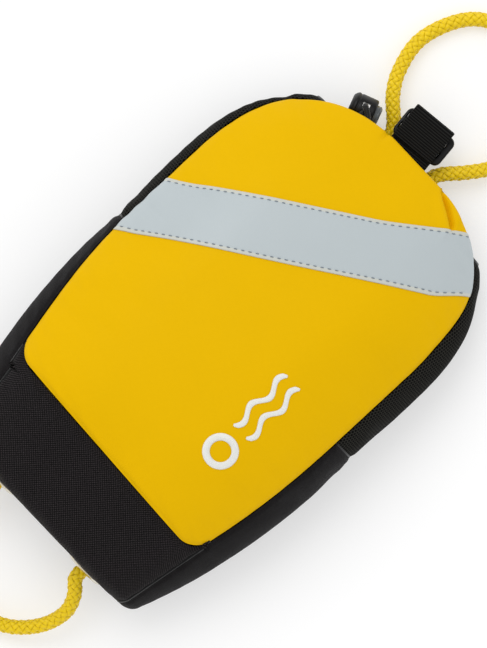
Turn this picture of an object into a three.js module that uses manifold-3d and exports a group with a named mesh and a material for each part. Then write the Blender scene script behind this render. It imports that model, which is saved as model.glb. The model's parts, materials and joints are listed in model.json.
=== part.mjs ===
// A throw rope bag lying on its back: a domed, drawcord-closed bag of coated fabric and mesh,
// stuffed with floating rescue line, with a hand loop at its mouth and a rope loop at its toe.
// Millimetres. +Z is out of the front panel, +Y is from the toe to the mouth, +X is to the right.
// Inside this file a "station" is a distance along the bag, measured from the toe end.
import * as THREE from "three";
import { mergeVertices } from "three/addons/utils/BufferGeometryUtils.js";
import Module from "manifold-3d";

const wasm = await Module();
wasm.setup();

// ---- Driving dimensions -------------------------------------------------------------------

const BAG_LENGTH = 217;
const BAG_HALF_WIDTH = 70;
const BAG_THICKNESS = 60;
const MOUTH_THICKNESS = 30;
const MOUTH_TAPER_POWER = 2.2;
const TOE_THICKNESS = 46;
const TOE_NARROWING = 17.5;
const TOE_TAPER_END = 112;
const TOE_TAPER_POWER = 2.2;
const FULLEST_STATION = 90;
const DOME_START = 150;
const DOME_REACH = 67.5;
const DOME_POWER = 2.5;
const SHOULDER_STATION = 190;
const SHOULDER_SLOPE = 0.6;
const EDGE_ROUND = 5;
const WIDEST_SHARE = 0.46;
const CROWN_POWER = 2.6;
const BACK_CORNER = 12;
const BACK_DOME_START = 140;
const BACK_DOME_REACH = 72;
const BACK_END = 211;

const CLOTH = 0.9;
const SEAM_GAP = 0.5;
const TOE_SEAM = 39.5;
const TOE_SEAM_SLANT = 2;
const TOE_PANEL_HALF_WIDTH = 49;
const TOE_PANEL_FLARE = 0.155;
const PANEL_TOP = 216.9;
const RIGHT_INSET_TOE = 9.5;
const RIGHT_INSET_DOME = 8;
const LEFT_INSET_TOE = 6.5;
const LEFT_INSET_DOME = 2.5;
const MOUTH_INSET = 0.3;
const MOUTH_INSET_START = 165;
const GUSSET_SEAM = 112;
const GUSSET_END = 200;
const GUSSET_JOG_START = 36.5;
const GUSSET_JOG_END = 43.5;

const TAPE_WIDTH = 25.4;
const TAPE_ANGLE = 34.5;
const TAPE_CROSSING = 167;
const APPLIQUE_LIFT = 0.3;
const APPLIQUE_THICKNESS = 0.6;
const MARK_X = 30;
const MARK_RING_STATION = 75;
const MARK_RING_OUTER = 7.5;
const MARK_RING_INNER = 4.4;
const WAVE_START = 86;
const WAVE_LENGTH = 30;
const WAVE_HALF_WIDTH = 1.3;
const WAVE_HEIGHT = 1.7;
const WAVE_SPACING = 7.4;

const ROPE = 3.175;
const CORD = 1.2;
const EYELET_X = [-24.1, 27.4];
const EYELET_Z = 20;
const EYELET_HOLE = 4.75;
const EYELET_BARREL = 5.4;
const EYELET_FLANGE = 9;
const ROPE_SIDES = 8;
const KNOT_ROPE = 2.7;
const LOOP_HINGE_STATION = -5.5;
const HAND_LOOP_X = -5.1;
const HAND_HINGE_STATION = 229;
const HAND_HINGE_REACH = 22.4;
const HAND_HINGE_Z = 8;
const LEADER_REACH_LEFT = 11.4;
const LEADER_REACH_RIGHT = 14.3;
const LEADER_Z = 9.4;
const HINGE_GAP = 0.4;

const HEM_RADIUS = 2.4;
const HEM_WALL = 0.5;
const LOCK_CENTRE = new THREE.Vector3(-31, 215.5, 17.5);
const LOCK_TURN = 22;
const LOCK_RADIUS = 6.2;
const LOCK_BORE = 4.7;
const LOCK_BACK = -6.4;
const LOCK_FRONT = 4.5;
const LOCK_BORE_END = -5.3;
const PLUNGER_RADIUS = 4.3;
const PLUNGER_BACK = -2.5;
const PLUNGER_TIP = 7;
const PLUNGER_TRAVEL = 1.5;
const SPRING_WIRE = 0.2;
const SPRING_TURNS = 1.4;
const SPRING_RADIUS = 3.2;
const CORD_SPACING = 2.9;

const WEBBING_WIDTH = 20;
const WEBBING = 1.2;
const STRAP_CENTRE = new THREE.Vector3(-5.6, 218, 0);
const STRAP_TURN = 7;
const BUCKLE_WIDTH = 25.4;
const BUCKLE_LENGTH = 14;
const BUCKLE_BASE = 14.5;
const BUCKLE_TOP = 19.5;

// ---- Colours ------------------------------------------------------------------------------

const YELLOW = { color: 0xeaba02, roughness: 0.55, metalness: 0 };
const TAPE_GREY = { color: 0xbfc9cb, roughness: 0.35, metalness: 0.2 };
const THREAD_WHITE = { color: 0xf2f2ee, roughness: 0.6, metalness: 0 };
const BLACK_CLOTH = { color: 0x1c191a, roughness: 0.85, metalness: 0 };
const BLACK_MESH = { color: 0x1f1f18, roughness: 0.9, metalness: 0 };
const BLACK_WEBBING = { color: 0x191917, roughness: 0.8, metalness: 0 };
const BLACK_PLASTIC = { color: 0x121212, roughness: 0.3, metalness: 0 };
const GREY_PLASTIC = { color: 0x55585a, roughness: 0.3, metalness: 0 };
const NICKEL = { color: 0xd8d4c6, roughness: 0.25, metalness: 1 };
const STEEL = { color: 0xb0b0b0, roughness: 0.3, metalness: 1 };
const FOAM_GREY = { color: 0x8b8f92, roughness: 0.95, metalness: 0 };
const ROPE_YELLOW = { color: 0xe4c007, roughness: 0.5, metalness: 0 };

// ---- Scene helpers ------------------------------------------------------------------------

const bag = new THREE.Group();
bag.position.y = -BAG_LENGTH / 2;

function add(name, geometry, look, parent = bag) {
  const mesh = new THREE.Mesh(geometry, new THREE.MeshStandardMaterial(look));
  mesh.name = name;
  parent.add(mesh);
  return mesh;
}

function positionsOnly(geometry) {
  const bare = new THREE.BufferGeometry();
  bare.setAttribute("position", geometry.getAttribute("position"));
  if (geometry.index) bare.setIndex(geometry.index);
  return mergeVertices(bare, 1e-4);
}

function toSolid(geometry) {
  const merged = positionsOnly(geometry);
  return new wasm.Manifold(
    new wasm.Mesh({
      numProp: 3,
      vertProperties: new Float32Array(merged.getAttribute("position").array),
      triVerts: new Uint32Array(merged.index.array),
    }),
  );
}

function toGeometry(solid) {
  const mesh = solid.getMesh();
  const geometry = new THREE.BufferGeometry();
  geometry.setAttribute("position", new THREE.BufferAttribute(mesh.vertProperties, 3));
  geometry.setIndex(new THREE.BufferAttribute(mesh.triVerts, 1));
  return geometry;
}

function signedVolume(positions, index) {
  const a = new THREE.Vector3();
  const b = new THREE.Vector3();
  const c = new THREE.Vector3();
  let volume = 0;
  for (let i = 0; i < index.length; i += 3) {
    a.fromArray(positions, index[i] * 3);
    b.fromArray(positions, index[i + 1] * 3);
    c.fromArray(positions, index[i + 2] * 3);
    volume += a.dot(b.cross(c)) / 6;
  }
  return volume;
}

const closedShell = (points, index) =>
  facingOut(new Float32Array(points.flatMap((p) => [p.x, p.y, p.z])), index);

// A closed shell from its vertices and triangles, turned so that its faces point outwards.
function facingOut(positions, index) {
  if (signedVolume(positions, index) < 0) {
    for (let i = 0; i < index.length; i += 3) {
      [index[i + 1], index[i + 2]] = [index[i + 2], index[i + 1]];
    }
  }
  const geometry = new THREE.BufferGeometry();
  geometry.setAttribute("position", new THREE.BufferAttribute(positions, 3));
  geometry.setIndex(index);
  return geometry;
}

// A sheet of cloth: a grid over surface(u, v), thickened along the surface's normal.
function sheet(surface, across, along, inner, outer) {
  const step = 1e-4;
  const layers = [[], []];
  for (let j = 0; j <= along; j++) {
    for (let i = 0; i <= across; i++) {
      const u = i / across;
      const v = j / along;
      const p = surface(u, v);
      const du = surface(Math.min(u + step, 1), v).sub(surface(Math.max(u - step, 0), v));
      const dv = surface(u, Math.min(v + step, 1)).sub(surface(u, Math.max(v - step, 0)));
      const normal = du.cross(dv).normalize();
      layers[0].push(p.clone().addScaledVector(normal, inner));
      layers[1].push(p.clone().addScaledVector(normal, outer));
    }
  }
  const row = across + 1;
  const count = row * (along + 1);
  const index = [];
  const quad = (a, b, c, d) => index.push(a, b, c, a, c, d);
  for (let j = 0; j < along; j++) {
    for (let i = 0; i < across; i++) {
      const k = j * row + i;
      quad(count + k, count + k + 1, count + k + row + 1, count + k + row);
      quad(k, k + row, k + row + 1, k + 1);
    }
  }
  for (let i = 0; i < across; i++) {
    const far = along * row + i;
    quad(i, i + 1, count + i + 1, count + i);
    quad(far, count + far, count + far + 1, far + 1);
  }
  for (let j = 0; j < along; j++) {
    const left = j * row;
    const right = left + across;
    quad(left, count + left, count + left + row, left + row);
    quad(right, right + row, count + right + row, count + right);
  }
  return closedShell([...layers[0], ...layers[1]], index);
}

// A solid swept along path, an array of points. profile is a closed outline of [side, up] pairs;
// roundEnds adds half-ball ends of the profile's own size.
function sweep(path, profile, roundEnds = false) {
  const up = new THREE.Vector3(0, 0, 1);
  const rings = [];
  const ring = (centre, tangent, scale) => {
    const side = new THREE.Vector3().crossVectors(tangent, up);
    if (side.length() < 0.05) side.set(1, 0, 0);
    side.normalize();
    const top = new THREE.Vector3().crossVectors(side, tangent).normalize();
    rings.push(
      profile.map(([x, y]) =>
        centre.clone().addScaledVector(side, x * scale).addScaledVector(top, y * scale),
      ),
    );
  };
  const tangentAt = (i) =>
    path[Math.min(i + 1, path.length - 1)].clone().sub(path[Math.max(i - 1, 0)]).normalize();
  const reach = Math.hypot(...profile[0]);
  const caps = roundEnds ? [15, 40, 65] : [];
  for (const angle of [...caps].reverse()) {
    const a = THREE.MathUtils.degToRad(angle);
    const centre = path[0].clone().addScaledVector(tangentAt(0), -reach * Math.sin(a));
    ring(centre, tangentAt(0), Math.cos(a));
  }
  path.forEach((p, i) => ring(p, tangentAt(i), 1));
  const last = path.length - 1;
  for (const angle of caps) {
    const a = THREE.MathUtils.degToRad(angle);
    const centre = path[last].clone().addScaledVector(tangentAt(last), reach * Math.sin(a));
    ring(centre, tangentAt(last), Math.cos(a));
  }
  const n = profile.length;
  const index = [];
  for (let j = 0; j < rings.length - 1; j++) {
    for (let i = 0; i < n; i++) {
      const a = j * n + i;
      const b = j * n + ((i + 1) % n);
      index.push(a, b, b + n, a, b + n, a + n);
    }
  }
  const contour = profile.map(([x, y]) => new THREE.Vector2(x, y));
  const end = (rings.length - 1) * n;
  for (const [a, b, c] of THREE.ShapeUtils.triangulateShape(contour, [])) {
    index.push(a, c, b, end + a, end + b, end + c);
  }
  return closedShell(rings.flat(), index);
}

// A sweep whose profile keeps a fixed side direction: axis, as a coil's wire does.
function sweepAbout(path, axis, profile) {
  const n = profile.length;
  const rings = path.map((centre, i) => {
    const ahead = path[Math.min(i + 1, path.length - 1)];
    const behind = path[Math.max(i - 1, 0)];
    const tangent = ahead.clone().sub(behind).normalize();
    const side = axis.clone().addScaledVector(tangent, -axis.dot(tangent)).normalize();
    const top = new THREE.Vector3().crossVectors(tangent, side);
    return profile.map(([x, y]) => centre.clone().addScaledVector(side, x).addScaledVector(top, y));
  });
  const index = [];
  for (let j = 0; j < rings.length - 1; j++) {
    for (let i = 0; i < n; i++) {
      const a = j * n + i;
      const b = j * n + ((i + 1) % n);
      index.push(a, b, b + n, a, b + n, a + n);
    }
  }
  const end = (rings.length - 1) * n;
  for (let i = 1; i < n - 1; i++) {
    index.push(0, i + 1, i, end, end + i, end + i + 1);
  }
  return closedShell(rings.flat(), index);
}

function circle(radius, sides) {
  return Array.from({ length: sides }, (_, i) => {
    const a = (2 * Math.PI * i) / sides;
    return [radius * Math.cos(a), radius * Math.sin(a)];
  });
}

function smooth(points, steps) {
  return new THREE.CatmullRomCurve3(points, false, "centripetal").getPoints(steps);
}

const point = (x, y, z) => new THREE.Vector3(x, y, z);

// ---- Shape of the bag ---------------------------------------------------------------------

// How far the section is drawn in at the rounded toe edge.
function edgeInset(station) {
  if (station >= EDGE_ROUND) return 0;
  return EDGE_ROUND - Math.sqrt(EDGE_ROUND ** 2 - (EDGE_ROUND - station) ** 2);
}

// Half of the bag's outline as seen from the front.
function outline(station) {
  if (station > DOME_START) {
    const t = Math.min((station - DOME_START) / DOME_REACH, 1);
    return BAG_HALF_WIDTH * (1 - t ** DOME_POWER) ** (1 / DOME_POWER);
  }
  const t = Math.max(1 - station / TOE_TAPER_END, 0);
  return BAG_HALF_WIDTH - TOE_NARROWING * t ** TOE_TAPER_POWER - edgeInset(station);
}

// Half-width of the section itself: the outline, but kept open across the mouth.
function halfWidth(station) {
  if (station <= SHOULDER_STATION) return outline(station);
  return outline(SHOULDER_STATION) - SHOULDER_SLOPE * (station - SHOULDER_STATION);
}

function thickness(station) {
  if (station < FULLEST_STATION) {
    const t = 1 - station / FULLEST_STATION;
    return BAG_THICKNESS - (BAG_THICKNESS - TOE_THICKNESS) * t ** 2 - edgeInset(station);
  }
  const t = (station - FULLEST_STATION) / (BAG_LENGTH - FULLEST_STATION);
  return BAG_THICKNESS - (BAG_THICKNESS - MOUTH_THICKNESS) * t ** MOUTH_TAPER_POWER;
}

const widestHeight = (station) => WIDEST_SHARE * thickness(station);

function frontHeight(x, station) {
  const reach = Math.min(Math.abs(x) / halfWidth(station), 1);
  const low = widestHeight(station);
  return low + (thickness(station) - low) * Math.sqrt(1 - reach ** CROWN_POWER);
}

function backHalfWidth(station) {
  if (station < BACK_DOME_START) return outline(station) - BACK_CORNER;
  const t = Math.min((station - BACK_DOME_START) / BACK_DOME_REACH, 1);
  return (BAG_HALF_WIDTH - BACK_CORNER) * (1 - t ** DOME_POWER) ** (1 / DOME_POWER);
}

const toePanelEdge = (station) =>
  TOE_PANEL_HALF_WIDTH + TOE_PANEL_FLARE * station - edgeInset(station);

// How far the front panel's edge lies inside the outline: side -1 is left, +1 is right.
function panelInset(station, side) {
  const near = THREE.MathUtils.smoothstep(station, MOUTH_INSET_START, PANEL_TOP);
  if (side > 0) {
    const share = Math.max((station - TOE_SEAM) / (DOME_START - TOE_SEAM), 0);
    const body = THREE.MathUtils.lerp(RIGHT_INSET_TOE, RIGHT_INSET_DOME, share);
    return THREE.MathUtils.lerp(body, MOUTH_INSET, near);
  }
  const rise = THREE.MathUtils.smoothstep(station, TOE_SEAM, GUSSET_SEAM);
  const body = THREE.MathUtils.lerp(LEFT_INSET_TOE, LEFT_INSET_DOME, rise);
  return THREE.MathUtils.lerp(body, MOUTH_INSET, near);
}

const panelEdge = (station, side) => outline(station) - panelInset(station, side);

function frontPanelSurface(u, v) {
  const slant = TOE_SEAM_SLANT * (1 - 2 * u) * (1 - v) ** 2;
  const station = TOE_SEAM + (PANEL_TOP - TOE_SEAM) * Math.sin((v * Math.PI) / 2) + slant;
  const left = -panelEdge(station, -1);
  const right = panelEdge(station, 1);
  const x = left + (right - left) * u;
  return point(x, station, frontHeight(x, station));
}

function toePanelSurface(u, v) {
  const seam = TOE_SEAM + TOE_SEAM_SLANT * (1 - 2 * u) - SEAM_GAP;
  const station = seam * v ** 2;
  const x = toePanelEdge(station) * (2 * u - 1);
  return point(x, station, frontHeight(x, station));
}

// The gusset's front edge follows the toe panel first and the front panel after it.
function gussetFrontEdge(station, side) {
  const toe = toePanelEdge(station);
  const front = panelEdge(station, side);
  if (station < GUSSET_JOG_START) return toe + SEAM_GAP;
  if (station > GUSSET_JOG_END) return front + SEAM_GAP;
  return Math.max(toe, front) + SEAM_GAP;
}

function gussetPoint(station, t, side) {
  const wide = halfWidth(station);
  const low = widestHeight(station);
  const start = Math.acos(Math.min(gussetFrontEdge(station, side) / wide, 1) ** (CROWN_POWER / 2));
  const angle = THREE.MathUtils.lerp(start, -Math.PI / 2, t);
  if (angle >= 0) {
    const x = wide * Math.cos(angle) ** (2 / CROWN_POWER);
    return point(side * x, station, low + (thickness(station) - low) * Math.sin(angle));
  }
  const back = backHalfWidth(station);
  const base = edgeInset(station);
  const x = back + (wide - back) * Math.cos(angle);
  return point(side * x, station, base + (low - base) * (1 + Math.sin(angle)));
}

function backPanelSurface(u, v) {
  const station = (BACK_END * (1 - Math.cos(Math.PI * v))) / 2;
  const x = (backHalfWidth(station) - SEAM_GAP) * (1 - 2 * u);
  return point(x, station, edgeInset(station));
}

function frontNormal(x, station) {
  const d = 0.01;
  const slopeX = (frontHeight(x + d, station) - frontHeight(x - d, station)) / (2 * d);
  const slopeY = (frontHeight(x, station + d) - frontHeight(x, station - d)) / (2 * d);
  return point(-slopeX, -slopeY, 1).normalize();
}

// ---- Fabric shell -------------------------------------------------------------------------

const FRONT_ACROSS = 12;
const FRONT_ALONG = 14;

function frontLayer(inner, outer) {
  return sheet(frontPanelSurface, FRONT_ACROSS, FRONT_ALONG, inner, outer);
}

add("front_panel", frontLayer(-CLOTH, 0), YELLOW);
add("toe_panel", sheet(toePanelSurface, 10, 8, -CLOTH, 0), BLACK_CLOTH);
add("back_panel", sheet(backPanelSurface, 4, 20, -CLOTH, 0), BLACK_CLOTH);

for (const [label, side] of [["left", -1], ["right", 1]]) {
  const around = (t) => (side > 0 ? t : 1 - t);
  const fabric = (u, v) => gussetPoint((GUSSET_SEAM - SEAM_GAP) * v ** 2, around(u), side);
  const open = (u, v) =>
    gussetPoint(THREE.MathUtils.lerp(GUSSET_SEAM, GUSSET_END, v), around(u), side);
  add(label + "_gusset_fabric", sheet(fabric, 8, 10, -CLOTH, 0), BLACK_CLOTH);
  add(label + "_gusset_mesh", sheet(open, 8, 8, -CLOTH, 0), BLACK_MESH);
}

// The toe end: the section at the toe, closed by a flat plate with two holes for the eyelets.
function toeOutline(inset) {
  const half = outline(0) - inset;
  const back = backHalfWidth(0);
  const low = widestHeight(0);
  const base = EDGE_ROUND + inset;
  const shape = new THREE.Shape();
  const steps = 8;
  const arc = (side, from, to) => {
    for (let i = 0; i <= steps; i++) {
      const a = THREE.MathUtils.lerp(from, to, i / steps);
      const above = a >= 0;
      const x = above ? half * Math.cos(a) ** (2 / CROWN_POWER) : back + (half - back) * Math.cos(a);
      const rise = above ? thickness(0) - inset - low : low - base;
      shape.lineTo(side * x, low + rise * Math.sin(a));
    }
  };
  shape.moveTo(0, base);
  arc(1, -Math.PI / 2, 0);
  arc(1, 0.15, Math.PI / 2 - 0.1);
  arc(-1, Math.PI / 2 - 0.1, 0.15);
  arc(-1, 0, -Math.PI / 2);
  return shape;
}

const bottomShape = toeOutline(SEAM_GAP + 0.3);
for (const x of EYELET_X) {
  const hole = new THREE.Path();
  hole.absarc(x, EYELET_Z, EYELET_BARREL + 0.4, 0, 2 * Math.PI, true);
  bottomShape.holes.push(hole);
}
const bottomPanel = new THREE.ExtrudeGeometry(bottomShape, {
  depth: CLOTH,
  bevelEnabled: false,
  curveSegments: 16,
});
bottomPanel.rotateX(Math.PI / 2);
bottomPanel.translate(0, CLOTH, 0);
add("bottom_panel", bottomPanel, BLACK_CLOTH);

// ---- Tape and embroidery, sewn on the front panel ------------------------------------------

const appliqueLayer = toSolid(frontLayer(APPLIQUE_LIFT, APPLIQUE_LIFT + APPLIQUE_THICKNESS));

// The part of the applique layer that lies inside a shape drawn on the front.
function applique(shape) {
  const prism = new THREE.ExtrudeGeometry(shape, {
    depth: 2 * BAG_THICKNESS,
    bevelEnabled: false,
    curveSegments: 12,
  });
  return toGeometry(appliqueLayer.intersect(toSolid(prism)));
}

function tapeShape() {
  const slope = THREE.MathUtils.degToRad(TAPE_ANGLE);
  const along = new THREE.Vector2(Math.cos(slope), Math.sin(slope));
  const across = new THREE.Vector2(-along.y, along.x);
  const centre = new THREE.Vector2(0, TAPE_CROSSING);
  const corner = (a, b) =>
    centre.clone().addScaledVector(along, a).addScaledVector(across, b);
  const reach = 2 * BAG_HALF_WIDTH;
  const half = TAPE_WIDTH / 2;
  return new THREE.Shape([
    corner(-reach, -half),
    corner(reach, -half),
    corner(reach, half),
    corner(-reach, half),
  ]);
}

function ringShape() {
  const shape = new THREE.Shape();
  shape.absarc(MARK_X, MARK_RING_STATION, MARK_RING_OUTER, 0, 2 * Math.PI);
  const hole = new THREE.Path();
  hole.absarc(MARK_X, MARK_RING_STATION, MARK_RING_INNER, 0, 2 * Math.PI, true);
  shape.holes.push(hole);
  return shape;
}

function waveShape(x) {
  const steps = 16;
  const edge = (offset) =>
    Array.from({ length: steps + 1 }, (_, i) => {
      const t = i / steps;
      const swing = WAVE_HEIGHT * Math.sin(4 * Math.PI * t);
      return new THREE.Vector2(x + swing + offset, WAVE_START + WAVE_LENGTH * t);
    });
  return new THREE.Shape([...edge(WAVE_HALF_WIDTH), ...edge(-WAVE_HALF_WIDTH).reverse()]);
}

add("reflective_tape", applique(tapeShape()), TAPE_GREY);
add("embroidered_ring", applique(ringShape()), THREAD_WHITE);
add("embroidered_wave_left", applique(waveShape(MARK_X - WAVE_SPACING / 2)), THREAD_WHITE);
add("embroidered_wave_right", applique(waveShape(MARK_X + WAVE_SPACING / 2)), THREAD_WHITE);

// ---- Mouth: hems and drawcord --------------------------------------------------------------

// A channel for the cord, open towards the inside of the bag.
function channelProfile() {
  const outer = [];
  const inner = [];
  const steps = 8;
  for (let i = 0; i <= steps; i++) {
    const a = THREE.MathUtils.degToRad(THREE.MathUtils.lerp(-145, 145, i / steps));
    outer.push([HEM_RADIUS * Math.cos(a), HEM_RADIUS * Math.sin(a)]);
    const r = HEM_RADIUS - HEM_WALL;
    inner.push([r * Math.cos(a), r * Math.sin(a)]);
  }
  return [...outer, ...inner.reverse()];
}

const HEM_DEPTH = CLOTH + 0.4 + HEM_RADIUS;
const FRONT_HEM_START = -24;
const FRONT_HEM_END = 46;
const BACK_HEM_END = 34;

function frontHemPoint(x) {
  const share = (1 - (Math.abs(x) / BAG_HALF_WIDTH) ** DOME_POWER) ** (1 / DOME_POWER);
  const station = DOME_START + DOME_REACH * share - 1.5 * HEM_RADIUS;
  const edge = point(x, station, frontHeight(x, station));
  return edge.addScaledVector(frontNormal(x, station), -HEM_DEPTH);
}

function backHemPoint(x) {
  const share = (1 - (Math.abs(x) / (BAG_HALF_WIDTH - BACK_CORNER)) ** DOME_POWER) ** (1 / DOME_POWER);
  const station = BACK_DOME_START + BACK_DOME_REACH * share - 1.5 * HEM_RADIUS;
  return point(x, station, HEM_DEPTH);
}

function samples(make, from, to, count) {
  return Array.from({ length: count + 1 }, (_, i) => make(from + ((to - from) * i) / count));
}

const frontHemPath = samples(frontHemPoint, FRONT_HEM_END, FRONT_HEM_START, 11);
const backHemPath = samples(backHemPoint, BACK_HEM_END, -BACK_HEM_END, 10);
add("front_hem", sweep(frontHemPath, channelProfile()), YELLOW);
add("back_hem", sweep(backHemPath, channelProfile()), BLACK_CLOTH);

const lockTurn = THREE.MathUtils.degToRad(LOCK_TURN);
const lockAcross = point(-Math.sin(lockTurn), Math.cos(lockTurn), 0);
const KNOT_RADIUS = 2.6;
const cordAt = (side, z) =>
  LOCK_CENTRE.clone()
    .setZ(z)
    .addScaledVector(lockAcross, (side * CORD_SPACING) / 2);

const cordPath = smooth(
  [
    cordAt(1, 5.9),
    cordAt(1, 10),
    cordAt(1, 17),
    cordAt(1, 24.7),
    point(-27.8, 214.4, 26.3),
    ...samples(frontHemPoint, FRONT_HEM_START, FRONT_HEM_END, 8),
    point(49, 199, 21),
    point(48.5, 197.5, 13),
    point(42, 198.5, 5.5),
    ...samples(backHemPoint, BACK_HEM_END, -BACK_HEM_END, 7),
    point(-41, 199.5, 5.5),
    point(-44, 203, 13),
    point(-37, 208, 20.5),
    point(-31, 210.5, 25.6),
    cordAt(-1, 24.7),
    cordAt(-1, 17),
    cordAt(-1, 10),
    cordAt(-1, 5.9),
  ],
  88,
);
add("drawcord", sweep(cordPath, circle(CORD, 5)), BLACK_CLOTH);

const endKnot = new THREE.SphereGeometry(KNOT_RADIUS, 10, 8);
endKnot.translate(LOCK_CENTRE.x, LOCK_CENTRE.y, KNOT_RADIUS + 0.3);
add("drawcord_knot", endKnot, BLACK_CLOTH);

// ---- Cord lock -----------------------------------------------------------------------------

const lock = new THREE.Group();
lock.position.copy(LOCK_CENTRE);
lock.rotation.z = lockTurn;
bag.add(lock);

// A body of revolution about the local X axis, from [x, radius] pairs.
function turned(pairs, sides) {
  const geometry = new THREE.LatheGeometry(
    pairs.map(([x, r]) => new THREE.Vector2(r, x)),
    sides,
  );
  return geometry.rotateZ(-Math.PI / 2);
}

function slot(from, to, width) {
  const box = new THREE.BoxGeometry(to - from, width, 4 * LOCK_RADIUS);
  return toSolid(box.translate((from + to) / 2, 0, 0));
}

const SLOT_WIDTH = CORD_SPACING + 2 * CORD + 1;
const barrel = turned(
  [
    [LOCK_BACK, 0],
    [LOCK_BACK, LOCK_RADIUS - 2],
    [LOCK_BACK + 1.5, LOCK_RADIUS],
    [LOCK_FRONT - 0.8, LOCK_RADIUS],
    [LOCK_FRONT, LOCK_RADIUS - 0.8],
    [LOCK_FRONT, LOCK_BORE],
    [LOCK_BORE_END, LOCK_BORE],
    [LOCK_BORE_END, 0],
  ],
  24,
);
const barrelCut = toSolid(barrel).subtract(slot(-1.6, 1.6, SLOT_WIDTH));
add("cord_lock_barrel", toGeometry(barrelCut), BLACK_PLASTIC, lock);

const plunger = turned(
  [
    [PLUNGER_BACK, 0],
    [PLUNGER_BACK, PLUNGER_RADIUS],
    [PLUNGER_TIP - 1, PLUNGER_RADIUS],
    [PLUNGER_TIP, PLUNGER_RADIUS - 1],
    [PLUNGER_TIP, 0],
  ],
  20,
);
const plungerCut = toSolid(plunger).subtract(slot(-1.5, 1.5 + PLUNGER_TRAVEL, SLOT_WIDTH));
add("cord_lock_plunger", toGeometry(plungerCut), GREY_PLASTIC, lock);

const springStart = LOCK_BORE_END + SPRING_WIRE + 0.1;
const springEnd = PLUNGER_BACK - PLUNGER_TRAVEL - SPRING_WIRE - 0.1;
const springPath = samples(
  (t) => {
    const a = 2 * Math.PI * SPRING_TURNS * t;
    const x = THREE.MathUtils.lerp(springStart, springEnd, t);
    return point(x, SPRING_RADIUS * Math.cos(a), SPRING_RADIUS * Math.sin(a));
  },
  0,
  1,
  26,
);
add("cord_lock_spring", sweepAbout(springPath, point(1, 0, 0), circle(SPRING_WIRE, 5)), STEEL, lock);

// ---- Closure strap and buckle ----------------------------------------------------------------

const strap = new THREE.Group();
strap.position.copy(STRAP_CENTRE);
strap.rotation.z = THREE.MathUtils.degToRad(STRAP_TURN);
bag.add(strap);

// Webbing whose side view is a line of [y, z] points in the strap's own frame.
function webbing(sideView, width = WEBBING_WIDTH) {
  const half = WEBBING / 2;
  const path = sideView.map(([y, z]) => point(0, y, z));
  const edge = (sign) =>
    path.map((p, i) => {
      const ahead = path[Math.min(i + 1, path.length - 1)];
      const behind = path[Math.max(i - 1, 0)];
      const t = ahead.clone().sub(behind).normalize();
      return new THREE.Vector2(p.y - sign * half * t.z, p.z + sign * half * t.y);
    });
  const shape = new THREE.Shape([...edge(1), ...edge(-1).reverse()]);
  const geometry = new THREE.ExtrudeGeometry(shape, { depth: width, bevelEnabled: false });
  // The shape's plane is turned from XY to YZ, and its depth from Z to X.
  const turn = new THREE.Matrix4().set(0, 0, 1, -width / 2, 1, 0, 0, 0, 0, 1, 0, 0, 0, 0, 0, 1);
  return geometry.applyMatrix4(turn);
}

const STRAP_LEVEL = BUCKLE_TOP + 0.5 + WEBBING / 2;
const TAIL_LEVEL = STRAP_LEVEL + WEBBING + 0.4;
add(
  "webbing_anchor",
  webbing([
    [-20, 32],
    [-13, 26.5],
    [-8, 22.6],
    [-4, STRAP_LEVEL + 0.3],
    [-0.3, STRAP_LEVEL],
  ]),
  BLACK_WEBBING,
  strap,
);

// The webbing comes over the buckle's inner bar, down through the slot and back under the bar.
const BAR_START = 0.9;
const BAR_END = 4.3;
const SLOT_LENGTH = 2.6;
add(
  "buckle_webbing",
  webbing([
    [0.3, STRAP_LEVEL],
    [BAR_END, STRAP_LEVEL],
    [BAR_END + 1, STRAP_LEVEL - 0.4],
    [BAR_END + 1.3, STRAP_LEVEL - 1.4],
    [BAR_END + 1.3, BUCKLE_BASE + 0.4],
    [BAR_END + 1, BUCKLE_BASE - 0.6],
    [BAR_END, BUCKLE_BASE - 1.1],
    [BAR_START + 0.5, BUCKLE_BASE - 1.1],
  ]),
  BLACK_WEBBING,
  strap,
);

function roundedRectangle(left, right, low, high, radius) {
  const shape = new THREE.Shape();
  shape.moveTo(left + radius, low);
  shape.absarc(right - radius, low + radius, radius, -Math.PI / 2, 0);
  shape.absarc(right - radius, high - radius, radius, 0, Math.PI / 2);
  shape.absarc(left + radius, high - radius, radius, Math.PI / 2, Math.PI);
  shape.absarc(left + radius, low + radius, radius, Math.PI, 1.5 * Math.PI);
  return shape;
}

const buckleHalf = BUCKLE_WIDTH / 2;
const slotHalf = WEBBING_WIDTH / 2 + 0.5;
const buckleShape = roundedRectangle(-buckleHalf, buckleHalf, BAR_START, BAR_START + BUCKLE_LENGTH, 3);
for (const start of [BAR_END, BAR_END + SLOT_LENGTH + 2.6]) {
  buckleShape.holes.push(
    roundedRectangle(-slotHalf, slotHalf, start, start + SLOT_LENGTH, 0.6),
  );
}
const buckle = new THREE.ExtrudeGeometry(buckleShape, {
  depth: BUCKLE_TOP - BUCKLE_BASE,
  bevelEnabled: false,
  curveSegments: 4,
});
add("ladder_lock", buckle.translate(0, 0, BUCKLE_BASE), BLACK_PLASTIC, strap);

add(
  "tail_webbing",
  webbing([
    [0.6, TAIL_LEVEL],
    [16.9, TAIL_LEVEL],
  ]),
  BLACK_WEBBING,
  strap,
);
add(
  "tail_tab",
  webbing([
    [8, TAIL_LEVEL - WEBBING - 0.3],
    [17.2, TAIL_LEVEL - WEBBING - 0.3],
  ], WEBBING_WIDTH + 0.4),
  BLACK_WEBBING,
  strap,
);

// ---- Eyelets and the toe loop -----------------------------------------------------------------

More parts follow.
